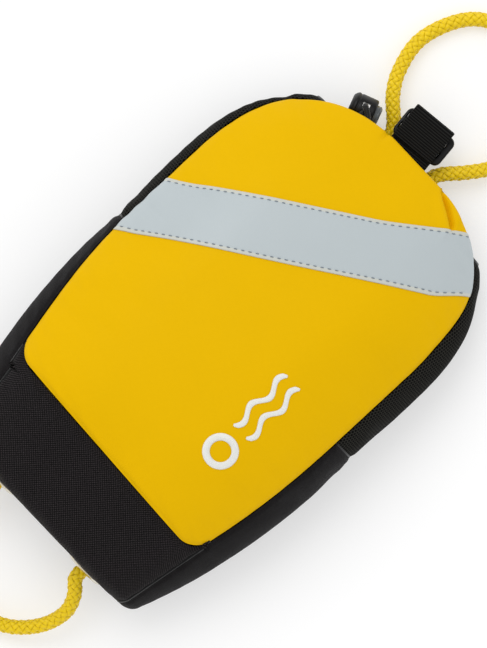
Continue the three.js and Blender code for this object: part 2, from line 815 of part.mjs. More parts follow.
// A body of revolution about an axis along Y, from [station, radius] pairs that close on themselves.
function eyeletRing(pairs, x) {
  const closed = [...pairs, pairs[0]].map(([y, r]) => new THREE.Vector2(r, y));
  const ring = positionsOnly(new THREE.LatheGeometry(closed, 18).translate(x, 0, EYELET_Z));
  return facingOut(ring.getAttribute("position").array, [...ring.index.array]);
}

const WASHER_START = CLOTH + 0.4;
const WASHER_END = WASHER_START + 0.8;

// A knot of the line, as a closed trefoil of rope.
function knot(x, station, z, radius) {
  const geometry = new THREE.TorusKnotGeometry(radius, KNOT_ROPE, 32, 5, 2, 3);
  return geometry.rotateX(Math.PI / 2).translate(x, station, z);
}

for (const [label, x] of [["left", EYELET_X[0]], ["right", EYELET_X[1]]]) {
  add(
    label + "_eyelet",
    eyeletRing(
      [
        [-0.3, EYELET_BARREL],
        [-0.3, EYELET_FLANGE],
        [-0.9, EYELET_FLANGE],
        [-1.7, EYELET_FLANGE - 2],
        [-1.7, EYELET_HOLE + 0.8],
        [-1, EYELET_HOLE],
        [WASHER_END + 0.9, EYELET_HOLE],
        [WASHER_END + 1.2, EYELET_BARREL + 1.6],
        [WASHER_END + 0.5, EYELET_BARREL + 1.6],
        [WASHER_END + 0.3, EYELET_BARREL],
      ],
      x,
    ),
    NICKEL,
  );
  add(
    label + "_washer",
    eyeletRing(
      [
        [WASHER_START, EYELET_BARREL + 0.5],
        [WASHER_END, EYELET_BARREL + 0.5],
        [WASHER_END, EYELET_FLANGE - 0.3],
        [WASHER_START, EYELET_FLANGE - 0.3],
      ],
      x,
    ),
    NICKEL,
  );
  const legEnd = LOOP_HINGE_STATION + ROPE + HINGE_GAP;
  const leg = sweep([point(x, 7, EYELET_Z), point(x, legEnd, EYELET_Z)], circle(ROPE, ROPE_SIDES));
  add(label + "_loop_leg", leg, ROPE_YELLOW);
  add(label + "_stopper_knot", knot(x, 14.5, EYELET_Z, 5), ROPE_YELLOW);
}

const loopMiddle = (EYELET_X[0] + EYELET_X[1]) / 2;
function toeLoopHalf(side) {
  const grommet = side * ((EYELET_X[1] - EYELET_X[0]) / 2);
  return [
    point(loopMiddle + grommet, LOOP_HINGE_STATION, EYELET_Z),
    point(loopMiddle + side * 30.6, -11, EYELET_Z - 2.2),
    point(loopMiddle + side * 33.4, -18.5, EYELET_Z - 5),
    point(loopMiddle + side * 30.5, -30, EYELET_Z - 9),
    point(loopMiddle + side * 20, -41.5, EYELET_Z - 12.6),
  ];
}
const toeLoop = smooth(
  [
    ...toeLoopHalf(1),
    point(loopMiddle, -47.5, EYELET_Z - 14.5),
    ...toeLoopHalf(-1).reverse(),
  ],
  28,
);
add("bottom_loop", sweep(toeLoop, circle(ROPE, ROPE_SIDES), true), ROPE_YELLOW);

// ---- Hand loop, its leader and knot -------------------------------------------------------------

// One leg of the loop, from its hinge to the crown: side -1 is left, +1 is right.
function handLoopLeg(side) {
  return [
    point(HAND_LOOP_X + side * HAND_HINGE_REACH, HAND_HINGE_STATION, HAND_HINGE_Z),
    point(HAND_LOOP_X + side * 27.8, 237.5, LEADER_Z - 3),
    point(HAND_LOOP_X + side * 31.2, 254.4, LEADER_Z - 5.2),
    point(HAND_LOOP_X + side * 21.7, 276, LEADER_Z - 5.6),
  ];
}

const handLoop = smooth(
  [...handLoopLeg(-1), point(HAND_LOOP_X, 285, LEADER_Z - 5.6), ...handLoopLeg(1).reverse()],
  34,
);
add("hand_loop", sweep(handLoop, circle(ROPE, ROPE_SIDES), true), ROPE_YELLOW);

// The two strands of line that run from the hand loop into the bag, up to the loop's knot.
for (const [label, side, reach] of [
  ["left", -1, LEADER_REACH_LEFT],
  ["right", 1, LEADER_REACH_RIGHT],
]) {
  const [hinge] = handLoopLeg(side);
  const mouth = point(HAND_LOOP_X + side * reach, BAG_LENGTH + 1, LEADER_Z);
  const start = mouth.clone().sub(hinge).setLength(ROPE + HINGE_GAP).add(hinge);
  const leader = smooth(
    [
      start,
      mouth,
      point(HAND_LOOP_X + side * (reach - 1), 205, LEADER_Z),
      point(HAND_LOOP_X + side * 4.5, 178, LEADER_Z),
    ],
    12,
  );
  add(label + "_leader", sweep(leader, circle(ROPE, ROPE_SIDES)), ROPE_YELLOW);
}
add("hand_loop_knot", knot(HAND_LOOP_X, 168, LEADER_Z + 4.5, 5.4), ROPE_YELLOW);

// ---- What the bag holds ---------------------------------------------------------------------------

const FOAM_HALF_WIDTH = 44;
const FOAM_START = 30;
const FOAM_END = 146;
const FOAM_BASE = CLOTH + 0.5;
const FOAM_THICKNESS = 6;
const foam = new THREE.ExtrudeGeometry(
  roundedRectangle(-FOAM_HALF_WIDTH, FOAM_HALF_WIDTH, FOAM_START, FOAM_END, 14),
  { depth: FOAM_THICKNESS, bevelEnabled: false, curveSegments: 5 },
);
add("flotation_foam", foam.translate(0, 0, FOAM_BASE), FOAM_GREY);

// The stuffed line: a rounded pillow that fills the bag above the foam.
const PILE_CENTRE = point(0, 86, 31.5);
const PILE_RADII = point(59, 58, 22.5);
const PILE_POWER = 0.72;
function pillow(centre, radii, power) {
  const geometry = new THREE.SphereGeometry(1, 18, 12);
  const position = geometry.getAttribute("position");
  const shaped = (value, radius) => Math.sign(value) * radius * Math.abs(value) ** power;
  for (let i = 0; i < position.count; i++) {
    position.setXYZ(
      i,
      centre.x + shaped(position.getX(i), radii.x),
      centre.y + shaped(position.getY(i), radii.y),
      centre.z + shaped(position.getZ(i), radii.z),
    );
  }
  return positionsOnly(geometry);
}
add("rope_pile", pillow(PILE_CENTRE, PILE_RADII, PILE_POWER), ROPE_YELLOW);
add("tie_in_knot", knot(loopMiddle, 12, EYELET_Z, 5), ROPE_YELLOW);

export default bag;
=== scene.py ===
import json
import math

import bpy
import numpy as np
from mathutils import Matrix, Vector
from mathutils.geometry import delaunay_2d_cdt


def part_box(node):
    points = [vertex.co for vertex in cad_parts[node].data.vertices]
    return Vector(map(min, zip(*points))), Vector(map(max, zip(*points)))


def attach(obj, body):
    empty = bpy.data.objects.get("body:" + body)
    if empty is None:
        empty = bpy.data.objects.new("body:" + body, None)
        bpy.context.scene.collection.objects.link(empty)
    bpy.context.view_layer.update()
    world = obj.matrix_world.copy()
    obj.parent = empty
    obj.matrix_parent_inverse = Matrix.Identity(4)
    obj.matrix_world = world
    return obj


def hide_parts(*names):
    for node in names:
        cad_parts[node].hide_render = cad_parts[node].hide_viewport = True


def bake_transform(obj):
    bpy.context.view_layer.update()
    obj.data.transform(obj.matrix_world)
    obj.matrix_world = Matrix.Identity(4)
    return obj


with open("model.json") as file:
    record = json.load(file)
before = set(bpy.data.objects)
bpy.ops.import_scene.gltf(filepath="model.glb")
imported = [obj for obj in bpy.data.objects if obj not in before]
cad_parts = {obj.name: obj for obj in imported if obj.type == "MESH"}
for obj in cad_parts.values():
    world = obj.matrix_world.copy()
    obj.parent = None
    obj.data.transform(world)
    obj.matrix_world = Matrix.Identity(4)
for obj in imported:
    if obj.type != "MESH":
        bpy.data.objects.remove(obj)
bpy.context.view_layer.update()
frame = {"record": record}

# A throw rope bag lying on its back. Shapes are worked out in millimetres, as (x, station, z),
# where station runs along the bag from its toe end; they become metres when a mesh is made.
MM = 0.001
ACROSS = np.array([1.0, 0.0, 0.0])
UP = np.array([0.0, 0.0, 1.0])


def from_frame(p):
    return np.array(p) / MM - [0, TOE_Y, 0]


def to_frame(p):
    return (p[0] * MM, (p[1] + TOE_Y) * MM, p[2] * MM)


def box_mm(node):
    """The lowest and the highest corner of a node's box."""
    return from_frame(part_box(node)[0]), from_frame(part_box(node)[1])


def centre_mm(node):
    return sum(box_mm(node)) / 2


def joint_mm(name):
    joint = next(j for j in frame["record"]["behaviour"]["joints"] if j["name"] == name)
    return from_frame(joint["pos_m"])


# ---- Dimensions ----

TOE_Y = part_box("bottom_panel")[0][1] / MM  # the frame's y where station is 0
BAG_HALF = box_mm("right_gusset_mesh")[1][0]
BAG_THICK = 60.0
THICKEST = 90.0  # station where the bag is BAG_THICK
WAIST = 0.46  # height of the widest line, as a share of the thickness
MOUTH_THICK = 30.0
TOE_THICK = 46.0
TOE_ROUND = 5.0
DOME_START = 150.0  # the mouth end of the front is a superellipse from here
DOME_REACH = 67.5
DOME_POWER = 2.5
SHOULDER = 190.0  # station where the sides begin to draw in evenly
BACK_CORNER = 12.0  # how far the flat back stays inside the outline
BACK_DOME_START = 140.0
BACK_DOME_REACH = 72.0
BACK_END = 211.0
CROWN = 2.6  # power of the curve across the front
CLOTH = 0.9  # thickness of a cloth layer
SEAM_GAP = 0.5  # between two panels
TOE_SEAM = 39.5
SEAM_SLANT = 2.0
PANEL_TOP = 216.9
GUSSET_SEAM = 112.0  # where side cloth gives way to side mesh
MESH_END = 206.0
GUSSET_SEAM_BACKED = 46.0  # a cord backs the side seam up to here
CORNER_RADIUS = 8.0
ROLL = 3.0  # radius of the mouth hem
HEM_INSET = 3.6  # from the mouth edge to the drawcord in the hem
HEM_DEPTH = 3.7
SEAM_DEPTH = 0.8
SEAM_WIDTH = 1.5

TAPE_HALF = 12.7
TAPE_SLOPE = math.radians(34.5)
TAPE_CROSSING = 167.0
TAPE_BEND = 4.2
STITCH_LINE = 11.2
MARK = centre_mm("embroidered_ring")
WAVE_START = 86.0
WAVE_LENGTH = 30.0

ROPE = 3.175
CORD = 1.2
EYELETS = [centre_mm("left_eyelet"), centre_mm("right_eyelet")]
LOCK = np.array([-31.0, 215.5, 17.5])
LOCK_TURN = math.radians(22)
STRAP = np.array([-5.6, 218.0, 0.0])
STRAP_TURN = math.radians(7)
WEBBING_HALF = 9.95
WEBBING = 1.2
RIB_PITCH = 1.07
LEFT_REACH = 11.4  # of the hand loop's legs, across from its hinge
RIGHT_REACH = 14.3


# ---- Mesh building ----


def assign(target, **values):
    for key, value in values.items():
        setattr(target, key, value)
    return target


def put(node, values):
    """Sets a node's inputs, by name or number."""
    for key, value in values.items():
        node.inputs[key].default_value = value


def evaluated(obj):
    return obj.evaluated_get(bpy.context.evaluated_depsgraph_get())


def coordinates(mesh):
    return np.array([v.co for v in mesh.vertices])


def add_object(name, data):
    obj = bpy.data.objects.new(name, data)
    bpy.context.scene.collection.objects.link(obj)
    return obj


def cut(obj, centre, size, turn):
    """Cuts a box out of obj and keeps the result as its mesh."""
    bpy.ops.mesh.primitive_cube_add(size=1, location=to_frame(centre))
    box = bpy.context.object
    box.scale = Vector(size) * MM
    box.rotation_euler[2] = turn
    bpy.context.view_layer.update()
    assign(obj.modifiers.new("cut", "BOOLEAN"), operation="DIFFERENCE", solver="EXACT", object=box)
    made = bpy.data.meshes.new_from_object(evaluated(obj))
    obj.modifiers.clear()
    obj.data = made
    bpy.data.objects.remove(box)


class Shape:
    """Vertices in millimetres, faces of any size and a UV in millimetres for each vertex."""

    def __init__(self):
        self.verts, self.faces, self.uvs, self.count = [], [], [], 0

    def add(self, verts, faces, uv=None):
        verts = np.asarray(verts, float).reshape(-1, 3)
        uv = verts[:, :2] if uv is None else np.asarray(uv, float).reshape(-1, 2)
        self.verts.append(verts)
        self.uvs.append(uv)
        for block in faces if isinstance(faces, list) else [faces]:
            self.faces.append(np.asarray(block, int) + self.count)
        self.count += len(verts)

    def build(self, name, material):
        verts = np.concatenate(self.verts)
        verts[:, 1] += TOE_Y
        uv = np.concatenate(self.uvs)
        loops = np.concatenate([f.ravel() for f in self.faces])
        sizes = np.concatenate([np.full(len(f), f.shape[1]) for f in self.faces])
        starts = np.concatenate([[0], np.cumsum(sizes)[:-1]])
        mesh = bpy.data.meshes.new(name)
        mesh.vertices.add(len(verts))
        mesh.vertices.foreach_set("co", (verts * MM).astype(np.float32).ravel())
        mesh.loops.add(len(loops))
        mesh.loops.foreach_set("vertex_index", loops.astype(np.int32))
        mesh.polygons.add(len(sizes))
        mesh.polygons.foreach_set("loop_start", starts.astype(np.int32))
        mesh.update(calc_edges=True)
        layer = mesh.uv_layers.new(name="UVMap")
        layer.data.foreach_set("uv", uv[loops].astype(np.float32).ravel())
        mesh.polygons.foreach_set("use_smooth", np.ones(len(sizes), bool))
        mesh.validate()
        obj = add_object(name, mesh)
        obj.data.materials.append(material)
        return obj

    def piece(self, name, material, slot, body, *nodes, slit=None, sharp=None):
        """Builds the mesh, fixes it to a body and shows it in place of the named nodes.

        slit is a box to cut out first: its centre, size and turn about z. Shading stays sharp
        where faces meet at more than the angle sharp, in degrees.
        """
        obj = self.build(name, material)
        if slit:
            cut(obj, *slit)
        if sharp:
            obj.data.set_sharp_from_angle(angle=math.radians(sharp))
        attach(obj, body)
        if nodes:
            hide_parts(*nodes)

    def bending_piece(self, name, material, slot, bodies, ends, *nodes):
        """Builds a mesh with its placement baked in and shows it in place of the named nodes. Its bodies and
        ends are not used.
        """
        obj = self.build(name, material)
        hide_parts(*nodes)
        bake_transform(obj)


def grid_faces(rows, cols, wrap=False):
    j, i = np.meshgrid(np.arange(rows - 1), np.arange(cols if wrap else cols - 1), indexing="ij")
    a = j * cols + i
    b = j * cols + (i + 1) % cols
    return points(a, b, b + cols, a + cols).reshape(-1, 4)


def grid_normals(p):
    n = np.cross(np.gradient(p, axis=1), np.gradient(p, axis=0))
    return n / (np.linalg.norm(n, axis=2, keepdims=True) + 1e-12)


def add_sheet(shape, outer, uv=None, depth=CLOTH):
    """A cloth sheet from a grid that faces outwards, with an inner layer and rims."""
    uv = arc_uv(outer) if uv is None else uv
    rows, cols = outer.shape[:2]
    inner = outer - grid_normals(outer) * depth
    n = rows * cols
    top = grid_faces(rows, cols)
    index = np.arange(n).reshape(rows, cols)
    loop = np.concatenate([index[0], index[1:, -1], index[-1, -2::-1], index[-2:0:-1, 0]])
    ahead = np.roll(loop, -1)
    rim = points(loop, loop + n, ahead + n, ahead)
    verts = np.concatenate([outer.reshape(-1, 3), inner.reshape(-1, 3)])
    uvs = np.concatenate([uv.reshape(-1, 2)] * 2)
    shape.add(verts, [top, top[:, ::-1] + n, rim], uvs)
    return shape


def arc_uv(p):
    """UVs in millimetres for a grid: distance along the rows and along the columns."""
    across = np.linalg.norm(np.diff(p, axis=1), axis=2).cumsum(1)
    across = np.pad(across, ((0, 0), (1, 0)))
    across -= across[:, across.shape[1] // 2][:, None]
    along = np.linalg.norm(np.diff(p, axis=0), axis=2).cumsum(0)
    along = np.pad(along, ((1, 0), (0, 0)))
    along[:] = along[:, along.shape[1] // 2][:, None]
    return points(across, along)


def points(*parts):
    """Coordinates, arrays or single numbers, joined into an array of points."""
    return np.stack(np.broadcast_arrays(*parts), -1)


def circle(count):
    """Even angles once round, without the last one."""
    return np.linspace(0, math.tau, count, endpoint=False)


def unit(v):
    return v / np.linalg.norm(v, axis=-1, keepdims=True)


def reaches(path):
    """How far along its path each point is."""
    return np.concatenate([[0], np.linalg.norm(np.diff(path, axis=0), axis=1).cumsum()])


def swept(path, across, up, a, b):
    """A section of points (a, b) set off across and up from each point of a path."""
    return path[:, None] + across[:, None] * a[None, :, None] + up[:, None] * b[None, :, None]


def smoothstep(x, low, high):
    t = np.clip((x - low) / (high - low), 0, 1)
    return t * t * (3 - 2 * t)


def lerp(a, b, t):
    return a + (b - a) * t


def spline(through, step):
    """A Catmull-Rom curve through points, resampled at equal steps."""
    p = np.asarray(through, float)
    p = np.vstack([2 * p[0] - p[1], p, 2 * p[-1] - p[-2]])
    dense = []
    for a, b, c, d in zip(p, p[1:], p[2:], p[3:]):
        ta = 0.0
        tb = ta + np.linalg.norm(b - a) ** 0.5
        tc = tb + np.linalg.norm(c - b) ** 0.5
        td = tc + np.linalg.norm(d - c) ** 0.5
        t = np.linspace(tb, tc, 33)[:-1, None]
        ab = (tb - t) / (tb - ta) * a + (t - ta) / (tb - ta) * b
        bc = (tc - t) / (tc - tb) * b + (t - tb) / (tc - tb) * c
        cd = (td - t) / (td - tc) * c + (t - tc) / (td - tc) * d
        abc = (tc - t) / (tc - ta) * ab + (t - ta) / (tc - ta) * bc
        bcd = (td - t) / (td - tb) * bc + (t - tb) / (td - tb) * cd
        dense.append((tc - t) / (tc - tb) * abc + (t - tb) / (tc - tb) * bcd)
    return resample(np.vstack(dense + [p[-2:-1]]), step)


def resample(p, step):
    reach = reaches(p)
    count = max(int(round(reach[-1] / step)), 2)
    at = np.linspace(0, reach[-1], count + 1)
    return points(*(np.interp(at, reach, p[:, k]) for k in range(3)))


def frames(path):
    """Tangents and two normals along a path that turn with it but do not twist about it."""
    tangent = unit(np.gradient(path, axis=0))
    side = np.empty_like(path)
    guess = UP
    if abs(tangent[0] @ guess) > 0.9:
        guess = ACROSS
    for i, t in enumerate(tangent):
        guess = side[i] = unit(guess - t * (guess @ t))
    return tangent, side, np.cross(tangent, side)


def add_tube(shape, path, radius, sides=12, caps=True):
    """A round tube; radius is one number or one for each point of the path."""
    _, side, top = frames(path)
    angle = circle(sides)
    radius = np.broadcast_to(radius, len(path))
    wide = radius[:, None]
    verts = swept(path, side * wide, top * wide, np.cos(angle), np.sin(angle))
    reach = reaches(path)
    uv = points(angle[None] * radius.max(), reach[:, None])
    faces = [grid_faces(len(path), sides, True)]
    if caps:
        last = (len(path) - 1) * sides
        faces += [np.arange(sides)[None, ::-1], np.arange(sides)[None] + last]
    shape.add(verts, faces, uv)
    return shape


STRANDS = 6
LAY = 21.0


def add_braid(shape, path, radius=ROPE, lay=LAY):
    """Braided rope: six strands each way, passing over and under, on a plain core."""
    tangent, side, top = frames(path)
    reach = reaches(path)
    wave = 0.11 * radius
    mid = radius * 0.74
    crossing = np.cos(math.pi * 2 * STRANDS * reach / lay)
    fade = np.clip(np.minimum(reach, reach[-1] - reach) / 1.5, 0.25, 1)
    profile = circle(8)
    wide, thick = 0.35 * radius, 0.18 * radius
    for turn in (1, -1):
        for k in range(STRANDS):
            angle = turn * math.tau * reach / lay + k * math.tau / STRANDS
            cosine, sine = np.cos(angle)[:, None], np.sin(angle)[:, None]
            out = cosine * side + sine * top
            around = cosine * top - sine * side
            centre = path + out * ((mid + turn * wave * crossing) * fade ** 0.3)[:, None]
            across = np.cross(out, unit(tangent + around * (turn * math.tau * mid / lay)))
            verts = swept(centre, across, out, wide * np.cos(profile), thick * np.sin(profile))
            # u is the angle round the strand, which the rope material uses to paint shade at the strand
            # edges.
            edge = np.minimum(profile, math.tau - profile)
            uv = points(edge[None], reach[:, None])
            shape.add(verts, [grid_faces(len(path), len(profile), True)], uv)
    return add_tube(shape, resample(path, 2.0), radius * 0.7, 12)


def add_lathe(shape, pairs, to_space, sides=64, closed=False):
    """A turned body from [along, radius] pairs; to_space maps (along, a, b) to (x, station, z)."""
    p = np.asarray(pairs, float)
    if closed:
        p = np.vstack([p, p[:1]])
    angle = circle(sides)
    local = points(p[:, :1], p[:, 1:] * np.cos(angle), p[:, 1:] * np.sin(angle))
    uv = points(angle[None] * p[:, 1].max(), p[:, 0, None])
    shape.add(to_space(local.reshape(-1, 3)), [grid_faces(len(p), sides, True)], uv)
    return shape


def rounded(pairs, amount=0.35, steps=4):
    """Corners of a profile cut into small arcs."""
    p = np.asarray(pairs, float)
    made = [p[0]]
    for a, b, c in zip(p, p[1:], p[2:]):
        reach = min(amount, 0.45 * np.linalg.norm(a - b), 0.45 * np.linalg.norm(c - b))
        start = b + (a - b) / np.linalg.norm(a - b) * reach
        end = b + (c - b) / np.linalg.norm(c - b) * reach
        for t in np.linspace(0, 1, steps + 1):
            made.append((1 - t) ** 2 * start + 2 * t * (1 - t) * b + t * t * end)
    made.append(p[-1])
    return np.array(made)


# ---- Shape of the bag ----


def edge_inset(s):
    """How far the toe end is rounded off at a station."""
    d = np.clip(TOE_ROUND - s, 0, TOE_ROUND)
    return TOE_ROUND - np.sqrt(TOE_ROUND**2 - d * d)


def superellipse(share, power=DOME_POWER):
    """What is left of a half axis at a share of the other one."""
    return (1 - np.abs(share) ** power) ** (1 / power)


def outline(s):
    s = np.asarray(s, float)
    dome = BAG_HALF * superellipse(np.clip((s - DOME_START) / DOME_REACH, 0, 1))
    low = BAG_HALF - 17.5 * np.clip(1 - s / 112, 0, None) ** 2.2 - edge_inset(s)
    return np.where(s > DOME_START, dome, low)


def half_width(s):
    s = np.asarray(s, float)
    return np.where(s <= SHOULDER, outline(s), outline(SHOULDER) - 0.6 * (s - SHOULDER))


def thickness(s):
    s = np.asarray(s, float)
    low = BAG_THICK - (BAG_THICK - TOE_THICK) * np.clip(1 - s / THICKEST, 0, None) ** 2 - edge_inset(s)
    high = BAG_THICK - (BAG_THICK - MOUTH_THICK) * np.clip((s - THICKEST) / 127, 0, None) ** 2.2
    return np.where(s < THICKEST, low, high)


def front_height(x, s):
    low = WAIST * thickness(s)
    reach = np.minimum(np.abs(x) / half_width(s), 1)
    return low + (thickness(s) - low) * np.sqrt(1 - reach**CROWN)


def dome_station(x):
    """Where the front panel ends at each x."""
    return DOME_START + DOME_REACH * superellipse(np.clip(x / BAG_HALF, -1, 1))


def back_half(s):
    s = np.asarray(s, float)
    t = np.clip((s - BACK_DOME_START) / BACK_DOME_REACH, 0, 1)
    dome = (BAG_HALF - BACK_CORNER) * superellipse(t)
    return np.where(s < BACK_DOME_START, outline(s) - BACK_CORNER, dome)


def toe_edge(s):
    return 49 + 0.155 * s - edge_inset(s)


def panel_edge(s, side):
    near = smoothstep(s, SHOULDER - 25, PANEL_TOP)
    if side > 0:
        body = np.minimum(lerp(9.5, 8.0, (s - TOE_SEAM) / (DOME_START - TOE_SEAM)), 9.5)
    else:
        body = lerp(6.5, 2.5, smoothstep(s, TOE_SEAM, GUSSET_SEAM))
    return outline(s) - lerp(body, 0.3, near)


def front_point(u, w, corner=CORNER_RADIUS):
    """(x, station) on the front panel; the two lower corners are rounded."""
    slant = SEAM_SLANT * (1 - 2 * u) * (1 - w) ** 2
    s = TOE_SEAM + (PANEL_TOP - TOE_SEAM) * w + slant
    d = np.clip(corner - (s - TOE_SEAM - slant), 0, corner)
    inset = corner - np.sqrt(corner**2 - d * d)
    left = -panel_edge(s, -1) + inset
    right = panel_edge(s, 1) - inset
    return left + (right - left) * u, s


def front_normal(x, s):
    d = 0.01
    dx = (front_height(x + d, s) - front_height(x - d, s)) / (2 * d)
    ds = (front_height(x, s + d) - front_height(x, s - d)) / (2 * d)
    return unit(points(-dx, -ds, 1.0))


def seam_edge(s, side, past=0.0):
    """Half width of the front at a side seam: toe panel, yellow panel, and the wider in between."""
    toe, front = toe_edge(s), panel_edge(s, side) + past
    return np.where(s < TOE_SEAM - 3, toe, np.where(s > TOE_SEAM + 4, front, np.maximum(toe, front)))


def gusset_point(s, t, side):
    wide, low, thick = half_width(s), WAIST * thickness(s), thickness(s)
    start = np.arccos(np.minimum((seam_edge(s, side) + SEAM_GAP) / wide, 1) ** (CROWN / 2))
    angle = lerp(start, -math.pi / 2, t)
    upper = angle >= 0
    cosine = np.clip(np.cos(angle), 0, 1)
    back, base = back_half(s), edge_inset(s)
    x = np.where(upper, wide * cosine ** (2 / CROWN), back + (wide - back) * cosine)
    z = np.where(
        upper,
        low + (thick - low) * np.sin(angle),
        base + (low - base) * (1 + np.sin(angle)),
    )
    return points(side * x, s, z)


def edge_distance(p, line):
    """Distance of each point of an array from a line drawn through points."""
    flat = p.reshape(-1, 3)
    start, run = line[:-1], np.diff(line, axis=0)
    length = (run * run).sum(1) + 1e-12
    out = np.empty(len(flat))
    for i in range(0, len(flat), 2000):
        gap = flat[i : i + 2000, None] - start[None]
        share = np.clip((gap * run[None]).sum(-1) / length, 0, 1)
        gap -= share[..., None] * run[None]
        out[i : i + 2000] = np.sqrt((gap * gap).sum(-1).min(1))
    return out.reshape(p.shape[:-1])


def closed_line(p, step=1.2):
    """The border of a grid as an even, closed line of points."""
    loop = np.concatenate([p[0], p[1:, -1], p[-1, -2::-1], p[-2::-1, 0]])
    return resample(loop, step)


def cosine_steps(count):
    """Shares from 0 to 1 that are closer together near both ends."""
    even_steps = np.linspace(0, 1, count + 1)
    return lerp(even_steps, (1 - np.cos(math.pi * even_steps)) / 2, 0.8)


# ---- Cloth simulation: how far each panel bellies out between its seams ----

SIM_SCALE = 10.0
SIM_FRAMES = 18
SIM_SLACK = 0.012
SIDE_BULGE = 1.2
FRONT_BULGE = 3.0


def belly(name, grid, pressure, cap):
    """Outward displacement, in mm, of a panel held at its edges and pressed from inside."""
    rows, cols = grid.shape[:2]
    shape = Shape()
    shape.add(grid * SIM_SCALE, [grid_faces(rows, cols)])
    obj = shape.build(name, bpy.data.materials.new(name))
    rest = coordinates(obj.data)
    pins = obj.vertex_groups.new(name="pins")
    index = np.arange(rows * cols).reshape(rows, cols)
    edge = np.concatenate([index[0], index[-1], index[:, 0], index[:, -1]])
    pins.add([int(i) for i in set(edge.tolist())], 1.0, "REPLACE")
    cloth = obj.modifiers.new("cloth", "CLOTH")
    assign(
        cloth.settings, quality=6, mass=0.3, tension_stiffness=40, compression_stiffness=40,
        shear_stiffness=15, bending_stiffness=1.0, shrink_min=-SIM_SLACK, vertex_group_mass="pins",
        use_pressure=True, uniform_pressure_force=pressure,
    )
    cloth.settings.effector_weights.gravity = 0
    cloth.collision_settings.use_collision = False
    scene = bpy.context.scene
    assign(cloth.point_cache, frame_start=1, frame_end=SIM_FRAMES)
    for step in range(1, SIM_FRAMES + 1):
        scene.frame_set(step)
    moved = coordinates(evaluated(obj).to_mesh())
    normals = grid_normals(grid).reshape(-1, 3)
    out = ((moved - rest) * normals).sum(1) / MM / SIM_SCALE
    bpy.data.objects.remove(obj)
    scene.frame_set(1)
    return np.clip(out, -cap, cap).reshape(rows, cols)


def sample(field, u, v):
    """A field on an even grid, read at shares u across and v along."""
    rows, cols = field.shape
    x = np.clip(u, 0, 1) * (cols - 1)
    y = np.clip(v, 0, 1) * (rows - 1)
    i = np.minimum(x.astype(int), cols - 2)
    j = np.minimum(y.astype(int), rows - 2)
    fx, fy = x - i, y - j
    low = lerp(field[j, i], field[j, i + 1], fx)
    high = lerp(field[j + 1, i], field[j + 1, i + 1], fx)
    return lerp(low, high, fy)


def blur(field, rounds=2):
    for _ in range(rounds):
        p = np.pad(field, 1, mode="edge")
        field = (p[1:-1, 1:-1] * 4 + p[:-2, 1:-1] + p[2:, 1:-1] + p[1:-1, :-2] + p[1:-1, 2:]) / 8
    return field


def even(rows, cols):
    return np.meshgrid(np.linspace(0, 1, cols), np.linspace(0, 1, rows))


u0, w0 = even(56, 48)
x0, s0 = front_point(u0, w0, 0.01)
front_belly = blur(belly("sim_front", points(x0, s0, front_height(x0, s0)), 6, FRONT_BULGE))

FU, FW = np.meshgrid(cosine_steps(190), cosine_steps(250))
FX, FS = front_point(FU, FW)
front_rim = closed_line(points(FX, FS, front_height(FX, FS)), 1.0)
CREASE_DEPTH = 3.0
CREASE_WIDTH = 1.0
FLAP_RISE = 0.7
FLAP_CENTRE = 3.5
FLAP_WIDTH = 2.0
CREASE = np.array([[16.0, 215.5, 0], [24.0, 211.0, 0], [31.0, 206.7, 0], [36.0, 202.5, 0]])


def pucker(along, distance, pitch=9.0, height=0.3, reach=7.0):
    """Small gathers beside a seam, fading away from it."""
    wave = np.sin(math.tau * along / pitch + 0.8 * np.sin(along * 0.21))
    return height * wave * np.exp(-distance / reach) * (1 - np.exp(-distance / 1.2))


def front_relief(x, s):
    """Displacement of the front cloth along its normal."""
    p = points(x, s, front_height(x, s))
    d = edge_distance(p, front_rim)
    near_mouth = smoothstep(s, 196, 204)
    over = np.clip(ROLL - d, 0, ROLL)
    roll = ROLL - np.sqrt(ROLL**2 - over**2)
    valley = SEAM_DEPTH * np.exp(-((d / SEAM_WIDTH) ** 2))
    out = -(near_mouth * roll + (1 - near_mouth) * valley)
    w = (s - TOE_SEAM) / (PANEL_TOP - TOE_SEAM)
    left, right = -panel_edge(s, -1), panel_edge(s, 1)
    out = out + sample(front_belly, (x - left) / (right - left), w)
    out = out + pucker(s + 0.4 * x, d) * (1 - near_mouth)
    out = out + (1 - np.exp(-d / 9)) * (
        0.32 * np.sin(0.052 * x + 0.031 * s + 0.4) * np.sin(0.047 * s - 0.02 * x + 1.1)
        + 0.16 * np.sin(0.11 * x - 0.07 * s + 2.0)
    )
    flat = points(x, s, 0)
    crease_line = resample(CREASE, 0.5)
    near = edge_distance(flat, crease_line)
    fade = smoothstep(x, 13, 19) * (1 - smoothstep(x, 28.5, 31.5))
    out = out - CREASE_DEPTH * np.exp(-((near / CREASE_WIDTH) ** 2)) * fade
    out = out + FLAP_RISE * np.exp(-(((near - FLAP_CENTRE) / FLAP_WIDTH) ** 2)) * fade
    notch = np.hypot((x + 17) / 1.2, (s - 215.6) / 4)
    return out - 1.0 * np.exp(-(notch**2))


def front_surface(x, s, lift=0.0):
    relief = front_relief(x, s) + lift
    p = points(x, s, front_height(x, s))
    return p + front_normal(x, s) * relief[..., None]


# ---- Materials ----


def linear(r, g, b):
    c = np.array([r, g, b]) / 255
    return tuple(np.where(c <= 0.04045, c / 12.92, ((c + 0.055) / 1.055) ** 2.4)) + (1.0,)


